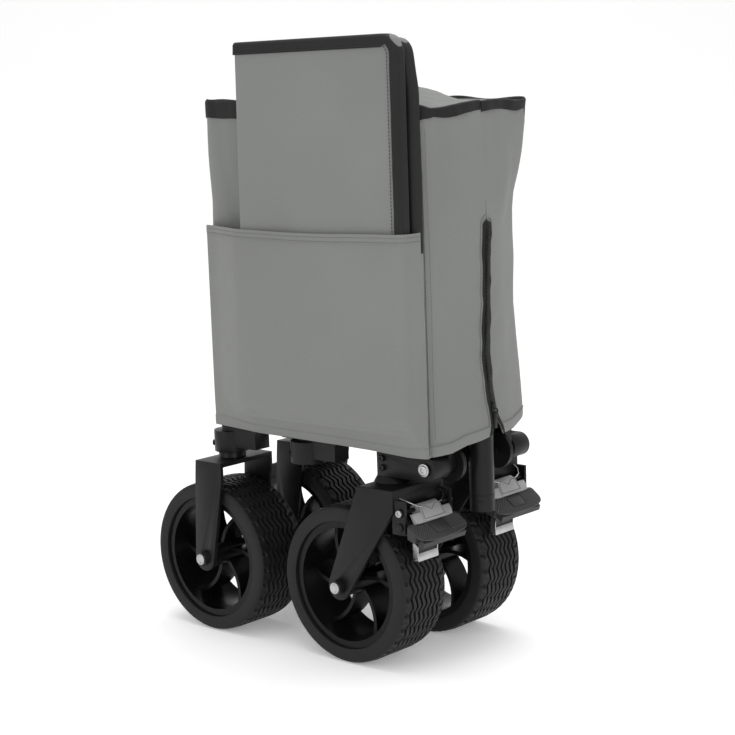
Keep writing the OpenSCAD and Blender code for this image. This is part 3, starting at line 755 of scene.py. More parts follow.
def cover_panel():
    """Top panel, gathered into the binding and pushed up from below."""
    span = 90

    def edge(u_from, u_to, t):
        u = u_from + (u_to - u_from) * t
        at = wall_points(np.mod(u, 1.0), np.ones_like(u), np.full_like(u, -2.2 * MM))
        at[:, 2] -= 1.5 * MM
        return at

    def place(s, t):
        right = edge(U_REAR_RIGHT, U_FRONT_RIGHT, s)
        left = edge(U_REAR_LEFT, U_FRONT_LEFT, s)
        back = edge(U_REAR_RIGHT, U_REAR_LEFT, t)
        front = edge(U_FRONT_RIGHT, 1 + U_FRONT_LEFT, t)
        corners = (U_REAR_RIGHT, U_FRONT_RIGHT, U_REAR_LEFT, U_FRONT_LEFT)
        ends = [edge(a, a, np.zeros_like(s)) for a in corners]
        s1, t1 = s[:, None], t[:, None]
        at = right * (1 - t1) + left * t1 + back * (1 - s1) + front * s1 - (
            ends[0] * (1 - s1) * (1 - t1) + ends[1] * s1 * (1 - t1)
            + ends[2] * (1 - s1) * t1 + ends[3] * s1 * t1)
        rim = np.clip(16 * s * (1 - s) * t * (1 - t), 0, 1)
        crown = 27 * np.exp(-(((s - 0.70) / 0.21) ** 2) - ((t - 0.44) / 0.34) ** 2)
        crown = crown - 22 * np.exp(-(((s - 1.0) / 0.2) ** 2) - ((t - 0.9) / 0.42) ** 2)
        crown = crown + 6 * np.exp(-(((s - 0.2) / 0.2) ** 2)) - 3
        turn = 2 * math.pi * (s * 7.2 + t * 2.6 + 0.35 * np.sin(6 * t + 3 * s))
        wrinkle = 2.0 * (1 - np.abs(np.sin(turn / 2)) * 2) * (0.4 + 0.6 * waves(s * 2, t * 1.6, 21))
        wrinkle = wrinkle + 1.2 * waves(s * 9, t * 4, 31) + 0.8 * waves(s * 17, t * 9, 33)
        at[:, 2] += (crown + wrinkle) * rim ** 0.5 * MM
        over_posts = CAPS_TOP + (2.4 + 0.5 * waves(s * 8, t * 5, 37)) * MM
        lifted = np.log1p(np.exp(np.clip((over_posts - at[:, 2]) / (0.8 * MM), -30, 30))) * 0.8 * MM
        at[:, 2] += lifted * ease((180 * MM - at[:, 0]) / (14 * MM))
        return at
    panel = cloth_grid(span, 48, place, 0.37, 0.19)
    solidify(panel, 1.0 * MM)
    return dress(panel, "cover_panel", "cover", CANVAS, 60)


def seam_bead(u, name, v0=0.03, v1=0.955, radius=0.9 * MM):
    v = np.linspace(v0, v1, 70)
    path = [p for p, _ in wall_line(np.full_like(v, u), v, 0.25 * MM)]
    bead = tube_along(path, radius)
    return dress(bead, name, "cover", CANVAS, 60)


# ------------------------------------------------------------------ pocket

MAT_LOW, MAT_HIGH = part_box("floor_mat")
POCKET_COLUMNS = 108


def pocket_plan(u):
    """The pocket's top edge in plan, from the rear seam over the mat to the front seam."""
    x = np.array([-143.5, -120, -60, -44, -20, 100, 215, 225.5, 229.2, 229.6, 228, 222.5, 209.0]) * MM
    y = np.array([-91.5, -98.5, -129, -136.5, -139.2, -140.2, -139.6, -138.6, -133, -120, -104, -90.5,
                  -79.0]) * MM
    run = np.r_[0, np.cumsum(np.hypot(np.diff(x), np.diff(y)))]
    run /= run[-1]
    return np.interp(u, run, x), np.interp(u, run, y)


def pocket_points(u, v, out_by=0.0):
    x, y = pocket_plan(u)
    kernel_x, kernel_y = pocket_plan(np.clip(u + 0.018, 0, 1))
    other_x, other_y = pocket_plan(np.clip(u - 0.018, 0, 1))
    x, y = (x + kernel_x + other_x) / 3, (y + kernel_y + other_y) / 3
    hem = np.interp(x / MM, [-144, 0, 90, 140, 200, 226], [277, 277, 276, 275, 272, 272.5]) * MM
    top = POCKET_TOP + 1.2 * MM * np.sin(u * 9) * np.sin(u * 3)
    z = hem + v * (top - hem)
    wall_y = WALL_RIGHT - 1.2 * MM
    depth = 0.16 + 0.84 * ease((z / MM - 258) / 68)
    swell = 1.6 * MM * np.sin(math.pi * np.clip(v, 0, 1)) ** 0.7 * np.sin(math.pi * np.clip(u, 0, 1)) ** 0.5
    relief = (1.0 * waves(u * 3.2, v * 2.2, 41) + 0.55 * waves(u * 9, v * 5, 47)) * MM
    front = np.sin(math.pi * np.clip(u, 0, 1)) ** 0.3
    y = wall_y + (y - wall_y) * depth - (swell + relief + out_by) * front * np.minimum(depth + 0.2, 1)
    x = np.where(x > 200 * MM, x - (1 - depth) * 3 * MM, x)
    return np.stack([x, y, z], 1)


def cover_pocket():
    pocket = cloth_grid(POCKET_COLUMNS, 56, lambda u, v: pocket_points(u, v), 0.44, 0.27)
    solidify(pocket, 1.1 * MM)
    dress(pocket, "pocket_front", "cover", CANVAS, 60)
    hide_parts("cover_pocket")

    def fold(u, v):
        at = pocket_points(u, 1 - 0.042 * (1 - v), 0.0)
        belly = (1.0 * np.sin(np.pi * np.clip(v, 0.02, 1)) ** 0.3 + 0.2) * MM
        at[:, 1] -= belly * np.sin(math.pi * np.clip(u, 0.01, 0.99)) ** 0.2
        return at
    fold_piece = cloth_grid(POCKET_COLUMNS, 6, fold, 0.44, 0.012)
    solidify(fold_piece, 1.0 * MM)
    dress(fold_piece, "pocket_top_hem", "cover", CANVAS, 60)

    def low_fold(u, v):
        at = pocket_points(u, 0.055 * v, 0.0)
        at[:, 1] -= (0.9 * np.sin(np.pi * np.clip(v, 0.02, 1)) ** 0.3 + 0.2) * MM
        return at
    low_piece = cloth_grid(POCKET_COLUMNS, 6, low_fold, 0.44, 0.014)
    solidify(low_piece, 1.0 * MM)
    dress(low_piece, "pocket_low_hem", "cover", CANVAS, 60)

    def floor(u, v):
        at = pocket_points(u, np.zeros_like(u), -0.5 * MM)
        at[:, 1] = at[:, 1] * (1 - v) + (WALL_RIGHT - 0.4 * MM) * v
        at[:, 2] += 1.2 * MM + 2 * MM * np.sin(math.pi * v)
        return at
    base = cloth_grid(POCKET_COLUMNS, 4, floor, 0.44, 0.03)
    solidify(base, 0.9 * MM, 1)
    dress(base, "pocket_base", "cover", CANVAS, 60)
    return pocket, [fold_piece, low_piece, base]


def cover_stitches():
    u = np.linspace(0.004, 0.996, 400)
    high = 15 * MM / (TOP_Z - HEM_Z)
    rows = [wall_line(u, np.full_like(u, high * 0.86), 1.3 * MM)]
    seam = np.linspace(0.05, 0.94, 120)
    for at in (U_FRONT_RIGHT, U_FRONT_LEFT):
        rows.append(wall_line(np.full_like(seam, at + 0.006), seam, 0.1 * MM))
    across = np.linspace(0.02, 0.98, 200)
    for v in (0.985, 0.965):
        at = pocket_points(across, np.full_like(across, v), 1.4 * MM)
        rows.append([(tuple(p), (0, -1, 0)) for p in at])
    low = pocket_points(across, np.full_like(across, 0.048), 1.1 * MM)
    rows.append([(tuple(p), (0, -1, 0)) for p in low])
    piece = stitches(rows, "cover_stitches")
    return dress(piece, "cover_stitches", "cover", THREAD, 60)


# ------------------------------------------------------------------ zip

ZIP_HALF = 9.2 * MM


def zip_edge(side, out, v, out_by):
    """A line beside the slit at cloth height v, out metres from it toward side."""
    u = np.clip(np.asarray(out, float) / AROUND, 0, 1) * np.ones_like(v)
    return wall_points(u if side > 0 else 1 - u, v, np.full_like(v, out_by))


def zip_pieces():
    v = np.linspace(0.0, SLIT_TOP_V, 90)
    edge_far = wall_points(np.zeros_like(v), v, np.full_like(v, 0.4 * MM))
    edge_near = wall_points(np.ones_like(v), v, np.full_like(v, 0.4 * MM))
    opened = 1 - ease((edge_far[:, 2] / MM - 276) / 48)
    parts = []
    for side in (1, -1):
        def tape(s, t, side=side):
            top = np.sqrt(np.clip(1 - (np.clip(t - 0.965, 0, 1) / 0.035) ** 2, 0, 1))
            at = zip_edge(side, s * ZIP_HALF * top, t * (SLIT_TOP_V + 0.012), 0.0)
            out = zip_edge(side, s * ZIP_HALF * top, t * (SLIT_TOP_V + 0.012), 1 * MM) - at
            return at + out * (1.0 + 0.5 * np.sin(math.pi * s) + 0.15 * np.sin(t * 90))[:, None]
        strip = cloth_grid(8, 110, tape, 0.01, 0.26)
        solidify(strip, 0.8 * MM, 0)
        parts.append(strip)
    tape_piece = join(parts, "zip_tape")
    dress(tape_piece, "zip_tape", "cover", WEBBING, 60)
    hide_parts("cover_zip")

    turn = np.linspace(0, math.pi, 24)
    rise = np.linspace(0.01, SLIT_TOP_V, 80)
    top_v = SLIT_TOP_V + 0.024 * np.sin(turn)
    reach = (ZIP_HALF + 0.9 * MM) * np.cos(turn)
    over = [zip_edge(1 if r > 0 else -1, abs(r), np.array([w]), 0.6 * MM)[0] for r, w in zip(reach, top_v)]
    path = [*zip_edge(1, ZIP_HALF + 0.9 * MM, rise, 0.6 * MM), *over[1:-1],
            *zip_edge(-1, ZIP_HALF + 0.9 * MM, rise, 0.6 * MM)[::-1]]
    piping = tube_along([tuple(p) for p in path], 1.0 * MM)
    dress(piping, "zip_piping", "cover", CANVAS, 60)

    deselect()
    bpy.ops.mesh.primitive_cube_add(size=1)
    tooth = bpy.context.object
    tooth.scale = (1.1 * MM, 3.2 * MM, 1.5 * MM)
    apply_place(tooth)
    bevel(tooth, 0.3 * MM, 1)
    places = []
    middle = (edge_far + edge_near) / 2
    run = np.linspace(0, 1, len(middle))
    for i, t in enumerate(np.arange(0.02, 0.985, 0.0088)):
        gap = np.interp(t, run, opened)
        for side, edge in ((1, edge_far), (-1, edge_near)):
            if (i % 2) != (side > 0) and gap < 0.05:
                continue
            at = [np.interp(t, run, edge[:, k]) for k in range(3)]
            at[1] += side * 0.6 * MM
            at[0] += (2.0 - 2.2 * gap) * MM
            m = Matrix.Translation(at)
            places.append(m)
    teeth = repeat(tooth, places, "zip_teeth")
    dress(teeth, "zip_teeth", "cover", HANDLE_PLASTIC, 40)

    at = Vector(middle[int(np.argmin(np.abs(edge_far[:, 2] - 0.322)))])
    deselect()
    bpy.ops.mesh.primitive_cube_add(size=1, location=at + Vector((2.6 * MM, 0, 0)))
    slider = bpy.context.object
    slider.scale = (3.6 * MM, 8.5 * MM, 12 * MM)
    apply_place(slider)
    select_faces(slider, lambda c, n: n.z > 0.9)
    bpy.ops.transform.resize(value=(1, 0.6, 1))
    object_mode()
    bevel(slider, 1.2 * MM, 3)
    bpy.ops.mesh.primitive_torus_add(
        major_radius=3.2 * MM, minor_radius=0.8 * MM, major_segments=28, minor_segments=10,
        location=at + Vector((5.2 * MM, 0, -5 * MM)), rotation=(math.pi / 2, 0, 0.3))
    ring = bpy.context.object
    apply_place(ring)
    deselect()
    bpy.ops.mesh.primitive_cube_add(size=1, location=at + Vector((5.4 * MM, 0, -17 * MM)))
    pull = bpy.context.object
    pull.scale = (1.6 * MM, 5.5 * MM, 19 * MM)
    apply_place(pull)
    bevel(pull, 0.7 * MM, 3)
    slider = join([slider, ring, pull], "zip_slider")
    dress(slider, "zip_slider", "cover", DARK_STEEL, 40)
    return [tape_piece, piping, teeth, slider]


# ------------------------------------------------------------------ mat

MAT_TILT = math.radians(0.1)
MAT_TAPER = math.radians(0.9)
MAT_BACK = 4.5 * MM
MAT_PIVOT_Z = 430 * MM
MAT_LAYER = (MAT_HIGH.y - MAT_LOW.y - 8 * MM) / 2


def lean_mat(co):
    """The mat leans forward a little in its pocket."""
    co = co.copy()
    lift = co[:, 2] - MAT_PIVOT_Z
    rear = (MAT_HIGH.x - co[:, 0]) / (MAT_HIGH.x - MAT_LOW.x)
    co[:, 0] += np.where(lift > 0, lift, lift * 0.25) * (MAT_TILT + MAT_TAPER * rear) - MAT_BACK * rear
    return co


def padded_layer(name, y0, y1, z_top, clip_x, clip_z, seed):
    """One folded layer of foam in its cloth: a crowned board with soft edges."""
    deselect()
    bpy.ops.mesh.primitive_cube_add(size=1)
    piece = bpy.context.object
    edit_all(piece)
    bpy.ops.mesh.subdivide(number_cuts=47)
    object_mode()
    co = points_of(piece) * 2

    def spread(t):
        return np.sin(t * math.pi / 2)
    co = spread(co)
    x0, x1, z0 = MAT_LOW.x, MAT_HIGH.x, MAT_LOW.z
    half = np.array([(x1 - x0) / 2, (y1 - y0) / 2, (z_top - z0) / 2])
    mid = np.array([(x1 + x0) / 2, (y1 + y0) / 2, (z_top + z0) / 2])
    at = co * half
    radius = np.array([7 * MM, 6 * MM, 7 * MM])
    inner = np.clip(at, -(half - radius), half - radius)
    off = (at - inner) / radius
    size = np.linalg.norm(off, axis=1, keepdims=True)
    biggest = np.max(np.abs(off), axis=1, keepdims=True)
    off = np.where(size > 1e-9, off * (biggest / np.maximum(size, 1e-9)), 0)
    at = inner + off * radius + mid
    # the top corner at the front is cut back along a slope
    high = np.clip((at[:, 2] - (z_top - clip_z)) / clip_z, 0, 1)
    right = np.clip((at[:, 0] - (x1 - 60 * MM)) / (60 * MM), 0, 1)
    at[:, 0] -= clip_x * high ** 1.4 * right
    face = np.sin(math.pi * np.clip((at[:, 0] - x0) / (x1 - x0), 0, 1)) ** 0.35 * \
        np.sin(math.pi * np.clip((at[:, 2] - z0) / (z_top - z0), 0, 1)) ** 0.35
    out = np.sign(at[:, 1] - mid[1]) * np.abs(co[:, 1]) ** 6
    at[:, 1] += out * face * (0.9 + 0.35 * waves(at[:, 0] / 0.14, at[:, 2] / 0.17, seed)) * MM
    set_points(piece, lean_mat(at))
    layer = piece.data.uv_layers.active or piece.data.uv_layers.new(name="UVMap")
    corner = np.empty(len(piece.data.loops), int)
    piece.data.loops.foreach_get("vertex_index", corner)
    layer.data.foreach_set("uv", (at[corner][:, [0, 2]] + at[corner][:, [1, 1]]).ravel())
    dress(piece, name, "mat", CANVAS, 60)
    return piece


def binding_edge(y0, y1, z_top, clip_x, clip_z, name, face, front_face, rear_face):
    """Webbing folded over a mat layer's top and front edges."""
    x0, x1 = MAT_LOW.x, MAT_HIGH.x
    z_low = POCKET_TOP - 24 * MM
    if clip_x > 12 * MM:
        path = [(x0 + 2 * MM, z_top), (x1 - clip_x - 6 * MM, z_top), (x1 - clip_x - 0.5 * MM, z_top - 5 * MM),
                (x1 - clip_x * 0.42, z_top - clip_z * 0.5), (x1 - 1 * MM, z_top - clip_z), (x1, z_low)]
    else:
        path = [(x0 + 2 * MM, z_top), (x1 - clip_x - 10 * MM, z_top), (x1 - clip_x - 2 * MM, z_top - 3 * MM),
                (x1 - clip_x * 0.6, z_top - 12 * MM), (x1, z_top - clip_z), (x1, z_low)]
    path = np.array(path)
    dense = np.linspace(0, 1, 150)
    run = np.r_[0, np.cumsum(np.hypot(*np.diff(path, axis=0).T))]
    line = np.stack([np.interp(dense * run[-1], run, path[:, k]) for k in (0, 1)], 1)
    for _ in range(3):
        line[1:-1] = (line[:-2] + line[1:-1] * 2 + line[2:]) / 4
    along = np.gradient(line, axis=0)
    along /= np.linalg.norm(along, axis=1, keepdims=True)
    inward = np.stack([along[:, 1], -along[:, 0]], 1)

    def place(u, v):
        at = np.stack([np.interp(u, dense, line[:, k]) for k in (0, 1)], 1)
        into = np.stack([np.interp(u, dense, inward[:, k]) for k in (0, 1)], 1)
        side = ease((u * run[-1] - run[1] + 6 * MM) / (16 * MM))
        front = face * (1 - side) + front_face * side
        rear = face * 0.8 * (1 - side) + rear_face * side
        depth = np.interp(v, [0, 0.32, 0.36, 0.64, 0.68, 1], [1, 0, 0, 0, 0, 0]) * (front - 1.5 * MM)
        depth = depth + np.interp(v, [0, 0.32, 0.36, 0.64, 0.68, 1], [0, 0, 0, 0, 0, 1]) * (rear - 1.5 * MM)
        depth = depth + np.interp(v, [0, 0.32, 0.36, 0.64, 0.68, 1], [1.5, 1.5, -0.9, -0.9, 1.5, 1.5]) * MM
        low, high = y0 / MM, y1 / MM
        y = np.interp(v, [0, 0.30, 0.37, 0.63, 0.70, 1],
                      [low - 1.6, low - 0.9, low + 2.2, high - 2.2, high + 0.9, high + 1.3]) * MM
        y = y + 0.25 * MM * waves(u * 14, v, 77)
        at = at + into * depth[:, None]
        return lean_mat(np.stack([at[:, 0], y, at[:, 1]], 1))
    strip = cloth_grid(150, 20, place, run[-1], face * 2 + (y1 - y0))
    merge = strip.modifiers.new("wall", "SOLIDIFY")
    merge.thickness = 0.9 * MM
    merge.offset = 0
    apply_modifiers(strip)
    dress(strip, name, "mat", WEBBING, 60)
    sewn = line + inward * (face - 2 * MM)
    flat = np.stack([sewn[:, 0], np.full(len(line), y0 - 2.1 * MM), sewn[:, 1]], 1)
    edge = [(*p,) for p in lean_mat(flat)]
    return strip, [(p, (0, -1, 0)) for p in edge[2:]]


def floor_mat():
    front_y1 = MAT_LOW.y + MAT_LAYER
    rear_y0 = MAT_HIGH.y - MAT_LAYER
    front_y0 = MAT_LOW.y + 1.2 * MM
    front = padded_layer("mat_front_layer", front_y0, front_y1, MAT_HIGH.z - 1 * MM, 6 * MM, 14 * MM, 51)
    padded_layer("mat_rear_layer", rear_y0, MAT_HIGH.y - 1.2 * MM, MAT_HIGH.z - 5 * MM, 12 * MM, 62 * MM, 57)
    _, line = binding_edge(front_y0, front_y1, MAT_HIGH.z - 1 * MM, 6 * MM, 14 * MM, "mat_front_binding",
                           14 * MM, 8.5 * MM, 9 * MM)
    # the rear layer's black binding runs wide on its face toward the front layer, 12 mm over the top and 14
    # mm down the front edge, so the gap between the layers is black
    binding_edge(rear_y0, MAT_HIGH.y - 1.2 * MM, MAT_HIGH.z - 5 * MM, 12 * MM, 62 * MM, "mat_rear_binding",
                 12 * MM, 14 * MM, 6 * MM)
    rows = stitches([line], "mat_stitches")
    dress(rows, "mat_stitches", "mat", DARK_THREAD, 60)

    def spine(u, v):
        y = front_y1 - 4 * MM + (rear_y0 - front_y1 + 8 * MM) * u
        x = MAT_LOW.x + (3.5 - 3.2 * np.sin(math.pi * u)) * MM
        z = MAT_LOW.z + 8 * MM + (MAT_HIGH.z - MAT_LOW.z - 20 * MM) * v
        return lean_mat(np.stack([x, y, z], 1))
    back = cloth_grid(8, 60, spine, 0.02, 0.45)
    solidify(back, 1 * MM, 0)
    dress(back, "mat_spine", "mat", CANVAS, 60)
    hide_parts("floor_mat")


# ------------------------------------------------------------------ liner

def folded_liner():
    """The wagon's cloth tub gathered in deep folds between the posts."""
    low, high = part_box("folded_liner")
    mid = (low + high) / 2
    half = (high - low) / 2

    def place(u, v):
        turn = 2 * math.pi * u
        pleat = 0.80 + 0.13 * np.cos(14 * turn + 2.2 * np.sin(2 * turn) + 0.8 * np.sin(5 * v))
        pleat = pleat + 0.03 * waves(u * 12, v * 3, 61)
        end = np.sqrt(np.clip(1 - (2 * v - 1) ** 10, 0, 1))
        shape_x = np.sign(np.cos(turn)) * np.abs(np.cos(turn)) ** 0.6
        shape_y = np.sign(np.sin(turn)) * np.abs(np.sin(turn)) ** 0.6
        x = mid.x + half.x * shape_x * pleat * (0.05 + 0.95 * end)
        y = mid.y + half.y * shape_y * pleat * (0.05 + 0.95 * end)
        z = mid.z + half.z * 0.985 * (2 * v - 1)
        return np.stack([x, y, z], 1)
    liner = cloth_grid(280, 60, place, 1.1, high.z - low.z)
    merge_points(liner, 0.3 * MM)
    dress(liner, "gathered_liner", "rear_right_top", CANVAS, 60)
    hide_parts("folded_liner")
    return liner


# ------------------------------------------------------------------ wheels

LUGS = 30
STEPS = 8
GROOVES = (-25.5, -17, -8.5, 0, 8.5, 17, 25.5)


def tyre_profile(half, radius, depth):
    """The tyre's section from the inner side ring over the tread: (across, radius, groove) in mm."""
    rows = [(-half + 0.4, radius - depth, 0), (-half, radius - depth + 1.2, 0), (-half, radius - 6.5, 0),
            (-half + 0.3, radius - 4.4, 0), (-half + 1.2, radius - 2.6, 0), (-half + 3.0, radius - 1.3, 0),
            (-half + 4.6, radius - 0.9, 1), (-half + 9.5, radius - 0.4, 1)]
    for g in GROOVES:
        rows += [(g - 1.9, radius - 0.1, 2), (g - 1.2, radius - 3.2, 2)]
        rows += [(g + 1.2, radius - 3.2, 2), (g + 1.9, radius - 0.1, 2)]
    rows += [(-a, r, k) for a, r, k in rows[7::-1]]
    return rows


def build_tyre(name, corner, node):
    low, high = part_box(node)
    mid = (low + high) / 2
    half = (high.y - low.y) / 2 / MM
    radius = (high.x - low.x) / 2 / MM
    profile = tyre_profile(half, radius, 18.7)
    mesh = bpy.data.meshes.new(name)
    joined = [(i, i + 1) for i in range(len(profile) - 1)]
    mesh.from_pydata([(r * MM, a * MM, 0) for a, r, _ in profile], joined, [])
    piece = bpy.data.objects.new(name, mesh)
    bpy.context.scene.collection.objects.link(piece)
    edit_all(piece)
    bpy.ops.mesh.spin(steps=LUGS * STEPS, angle=2 * math.pi, center=(0, 0, 0), axis=(0, 1, 0), dupli=False)
    bpy.ops.mesh.select_all(action="SELECT")
    bpy.ops.mesh.remove_doubles(threshold=0.01 * MM)
    bpy.ops.mesh.normals_make_consistent(inside=False)
    object_mode()
    co = points_of(piece)
    theta = np.arctan2(co[:, 2], co[:, 0])
    ring = np.hypot(co[:, 0], co[:, 2]) / MM
    across = co[:, 1] / MM
    step = np.round(theta / (2 * math.pi) * LUGS * STEPS).astype(int)
    phase = theta * LUGS
    tread = np.abs(across) < half - 7
    groove_no = np.round((across - GROOVES[0]) / 8.5).astype(int)
    wave = 2.1 * np.sin(phase) + 0.45 * np.sin(2 * phase)
    fade = np.clip((half - 8 - np.abs(across)) / 5, 0, 1)
    co[:, 1] += np.where(tread, wave * fade, 0) * MM
    # cross cuts: short sipes in the ribs and deep notches at the shoulders
    cut = np.zeros(len(co))
    shoulder = (np.abs(across) > half - 12) & (np.abs(across) < half - 3)
    slant = np.round((half - np.abs(across)) / 5).astype(int)
    cut = np.where(shoulder & ((step + slant) % 8 == 0), 3.4, cut)
    cut = np.where(shoulder & ((step + slant) % 8 == 4), 1.4, cut)
    rib = tread & (ring > radius - 0.6) & ((step + groove_no) % 8 == 0)
    cut = np.where(rib, 0.9, cut)
    scale = (ring - cut) / np.maximum(ring, 1e-6)
    co[:, 0] *= scale
    co[:, 2] *= scale
    # the inside is closed by a plain ring under the tread
    set_points(piece, co + np.array(mid))
    activate(piece)
    bpy.ops.object.mode_set(mode="EDIT")
    bpy.ops.mesh.select_mode(type="EDGE")
    bpy.ops.mesh.select_all(action="DESELECT")
    bpy.ops.mesh.select_non_manifold(extend=False, use_wire=False, use_boundary=True, use_multi_face=False,
                                     use_non_contiguous=False, use_verts=False)
    bpy.ops.mesh.bridge_edge_loops()
    bpy.ops.mesh.select_all(action="SELECT")
    bpy.ops.mesh.normals_make_consistent(inside=False)
    object_mode()
    dress(piece, name, corner, RUBBER, 32)
    piece.data.materials.append(TREAD)
    for face in piece.data.polygons:
        c = face.center - mid
        on_tread = abs(c.y) < (half - 1.0) * MM and math.hypot(c.x, c.z) > (radius - 4) * MM
        face.material_index = 1 if on_tread else 0
    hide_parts(node)


# ------------------------------------------------------------------ fasteners and small fittings

def disc(at, axis, radius, height, sides=40):
    """A turned disc standing on at, along axis."""
    deselect()
    axis = Vector(axis).normalized()
    turn = axis.to_track_quat("Z", "Y")
    bpy.ops.mesh.primitive_cylinder_add(vertices=sides, radius=radius, depth=height,
                                        location=Vector(at) + axis * height / 2, rotation=turn.to_euler())
    piece = bpy.context.object
    apply_place(piece)
    return piece


def socket_bolt(name, body, at, axis, radius, height, finish, socket=0.48, washer=True):
    """A round bolt head with a socket cut in its face, on a thin washer."""
    axis = Vector(axis).normalized()
    piece = disc(at, axis, radius, height)
    select_faces(piece, lambda c, n: n.dot(axis) > 0.9)
    bpy.ops.mesh.inset(thickness=radius * 0.22, depth=height * 0.18)
    bpy.ops.mesh.inset(thickness=radius * (0.78 - socket), depth=0)
    bpy.ops.mesh.inset(thickness=radius * 0.06, depth=-height * 0.7)
    object_mode()
    bevel(piece, radius * 0.07, 2, 35)
    if washer:
        ring = disc(Vector(at) - axis * 0.2 * MM, axis, radius * 1.28, 1.1 * MM)
        bevel(ring, 0.3 * MM, 2)
        piece = join([piece, ring], name)
    return dress(piece, name, body, finish, 35)


def hex_nut(name, body, at, axis, radius, height, finish):
    axis = Vector(axis).normalized()
    piece = disc(at, axis, radius, height, 6)
    select_faces(piece, lambda c, n: n.dot(axis) > 0.9)
    bpy.ops.mesh.inset(thickness=radius * 0.3, depth=0)
    bpy.ops.mesh.inset(thickness=radius * 0.1, depth=-height * 0.5)
    object_mode()
    bevel(piece, radius * 0.06, 2, 35)
    stub = disc(at, axis, radius * 0.52, height * 1.35, 28)
    bevel(stub, radius * 0.1, 2)
    ring = disc(Vector(at) - axis * 0.2 * MM, axis, radius * 1.25, 1.2 * MM)
    bevel(ring, 0.3 * MM, 2)
    piece = join([piece, stub, ring], name)
    return dress(piece, name, body, finish, 35)


CLEVIS_Z = 256 * MM
BRACKET_SCREWS_Z = (251 * MM, 263 * MM)
CLEVIS_NUT_OUT = 3.6 * MM
BRACKET_SCREW_OUT = 17.9 * MM
AXLE_CAP_R = 7.2 * MM
PIN_HEAD_OUT = 46.9 * MM


def fasteners():
    for side, sign in SIDES.items():
        out = Vector((0, sign, 0))
        corner_body = f"front_{side}_corner"
        low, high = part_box(f"post_front_{side}")
        face_y = low.y if sign < 0 else high.y
        clevis_x = centre_of(f"front_upright_{side}").x
        socket_bolt(f"clevis_bolt_{side}", corner_body, (clevis_x, face_y - sign * 0.2 * MM, CLEVIS_Z), out,
                    6.2 * MM, 2.8 * MM, STEEL)
        inner = low.y if sign > 0 else high.y
        hex_nut(f"clevis_nut_{side}", corner_body, (clevis_x, inner + sign * CLEVIS_NUT_OUT, CLEVIS_Z), -out,
                6.4 * MM, 4.2 * MM, STEEL)
        bearing = centre_of(f"swivel_bearing_{side}")
        for k, screw_z in enumerate(BRACKET_SCREWS_Z):
            socket_bolt(f"bracket_screw_{side}_{k + 1}", corner_body,
                        (bearing.x - 1 * MM, bearing.y + sign * BRACKET_SCREW_OUT, screw_z), out,
                        4.3 * MM, 2.6 * MM, DARK_STEEL, washer=False)
    for corner in CORNERS:
        node = f"axle_{corner}"
        low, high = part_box(node)
        mid = (low + high) / 2
        body = f"{corner}_caster" if corner.startswith("front") else f"{corner}_corner"
        for sign in (-1, 1):
            y = low.y if sign < 0 else high.y
            ring = disc((mid.x, y - sign * 0.3 * MM, mid.z), (0, sign, 0), AXLE_CAP_R, 1.6 * MM)
            axis = Vector((0, sign, 0))
            select_faces(ring, lambda c, n: n.dot(axis) > 0.9)
            bpy.ops.mesh.inset(thickness=2.2 * MM, depth=0)
            bpy.ops.mesh.inset(thickness=0.5 * MM, depth=-1.0 * MM)
            object_mode()
            bevel(ring, 0.35 * MM, 2)
            end = "out" if (sign < 0) == ("right" in corner) else "in"
            dress(ring, f"axle_cap_{corner}_{end}", body, STEEL)


# ------------------------------------------------------------------ brakes

RELEASE_TILT = math.radians(60)
BRAKE_TILT = math.radians(38)
FACE_TILT = math.radians(84)
LIP_TILT = math.radians(-10)


class Slope:
    """A pedal's upper face: across runs along the pivot, down runs down the slope, out stands off it."""

    def __init__(self, origin, tilt):
        self.origin = Vector(origin)
        self.down = Vector((math.cos(tilt), 0, -math.sin(tilt)))
        self.out = Vector((math.sin(tilt), 0, math.cos(tilt)))

    def at(self, across, down, out=0.0):
        return self.origin + Vector((0, across, 0)) * MM + self.down * down * MM + self.out * out * MM

    def place(self, a, b, width, rise, out):
        """A bar's place from a to b on the slope, for a unit bar scaled to fit."""
        start, end = self.at(*a, out), self.at(*b, out)
        m = frame_at((start + end) / 2, end - start, self.out)
        return m @ Matrix.Diagonal(((end - start).length, width * MM, rise * MM, 1))


def plate_on(slope, outline, low, high, edge=0.6):
    """A flat plate with rounded edges, cut to an outline of (across, down) points."""
    mesh = bpy.data.meshes.new("plate")
    mesh.from_pydata([slope.at(a, d, low) for a, d in outline], [], [tuple(range(len(outline)))])
    piece = bpy.data.objects.new("plate", mesh)
    bpy.context.scene.collection.objects.link(piece)
    edit_all(piece)
    bpy.ops.mesh.extrude_region_move(TRANSFORM_OT_translate={"value": slope.out * (high - low) * MM})
    bpy.ops.mesh.select_all(action="SELECT")
    bpy.ops.mesh.normals_make_consistent(inside=False)
    object_mode()
    bevel(piece, edge * MM, 2, 40)
    return piece


def mirrored(half):
    """A whole outline from its half at positive across, listed downward."""
    return [(a, d) for a, d in half] + [(-a, d) for a, d in reversed(half)]


def unit_bar():
    deselect()
    bpy.ops.mesh.primitive_cube_add(size=1)
    bar = bpy.context.object
    select_faces(bar, lambda c, n: n.z > 0.9)
    bpy.ops.transform.resize(value=(0.96, 0.45, 1))
    object_mode()
    return bar


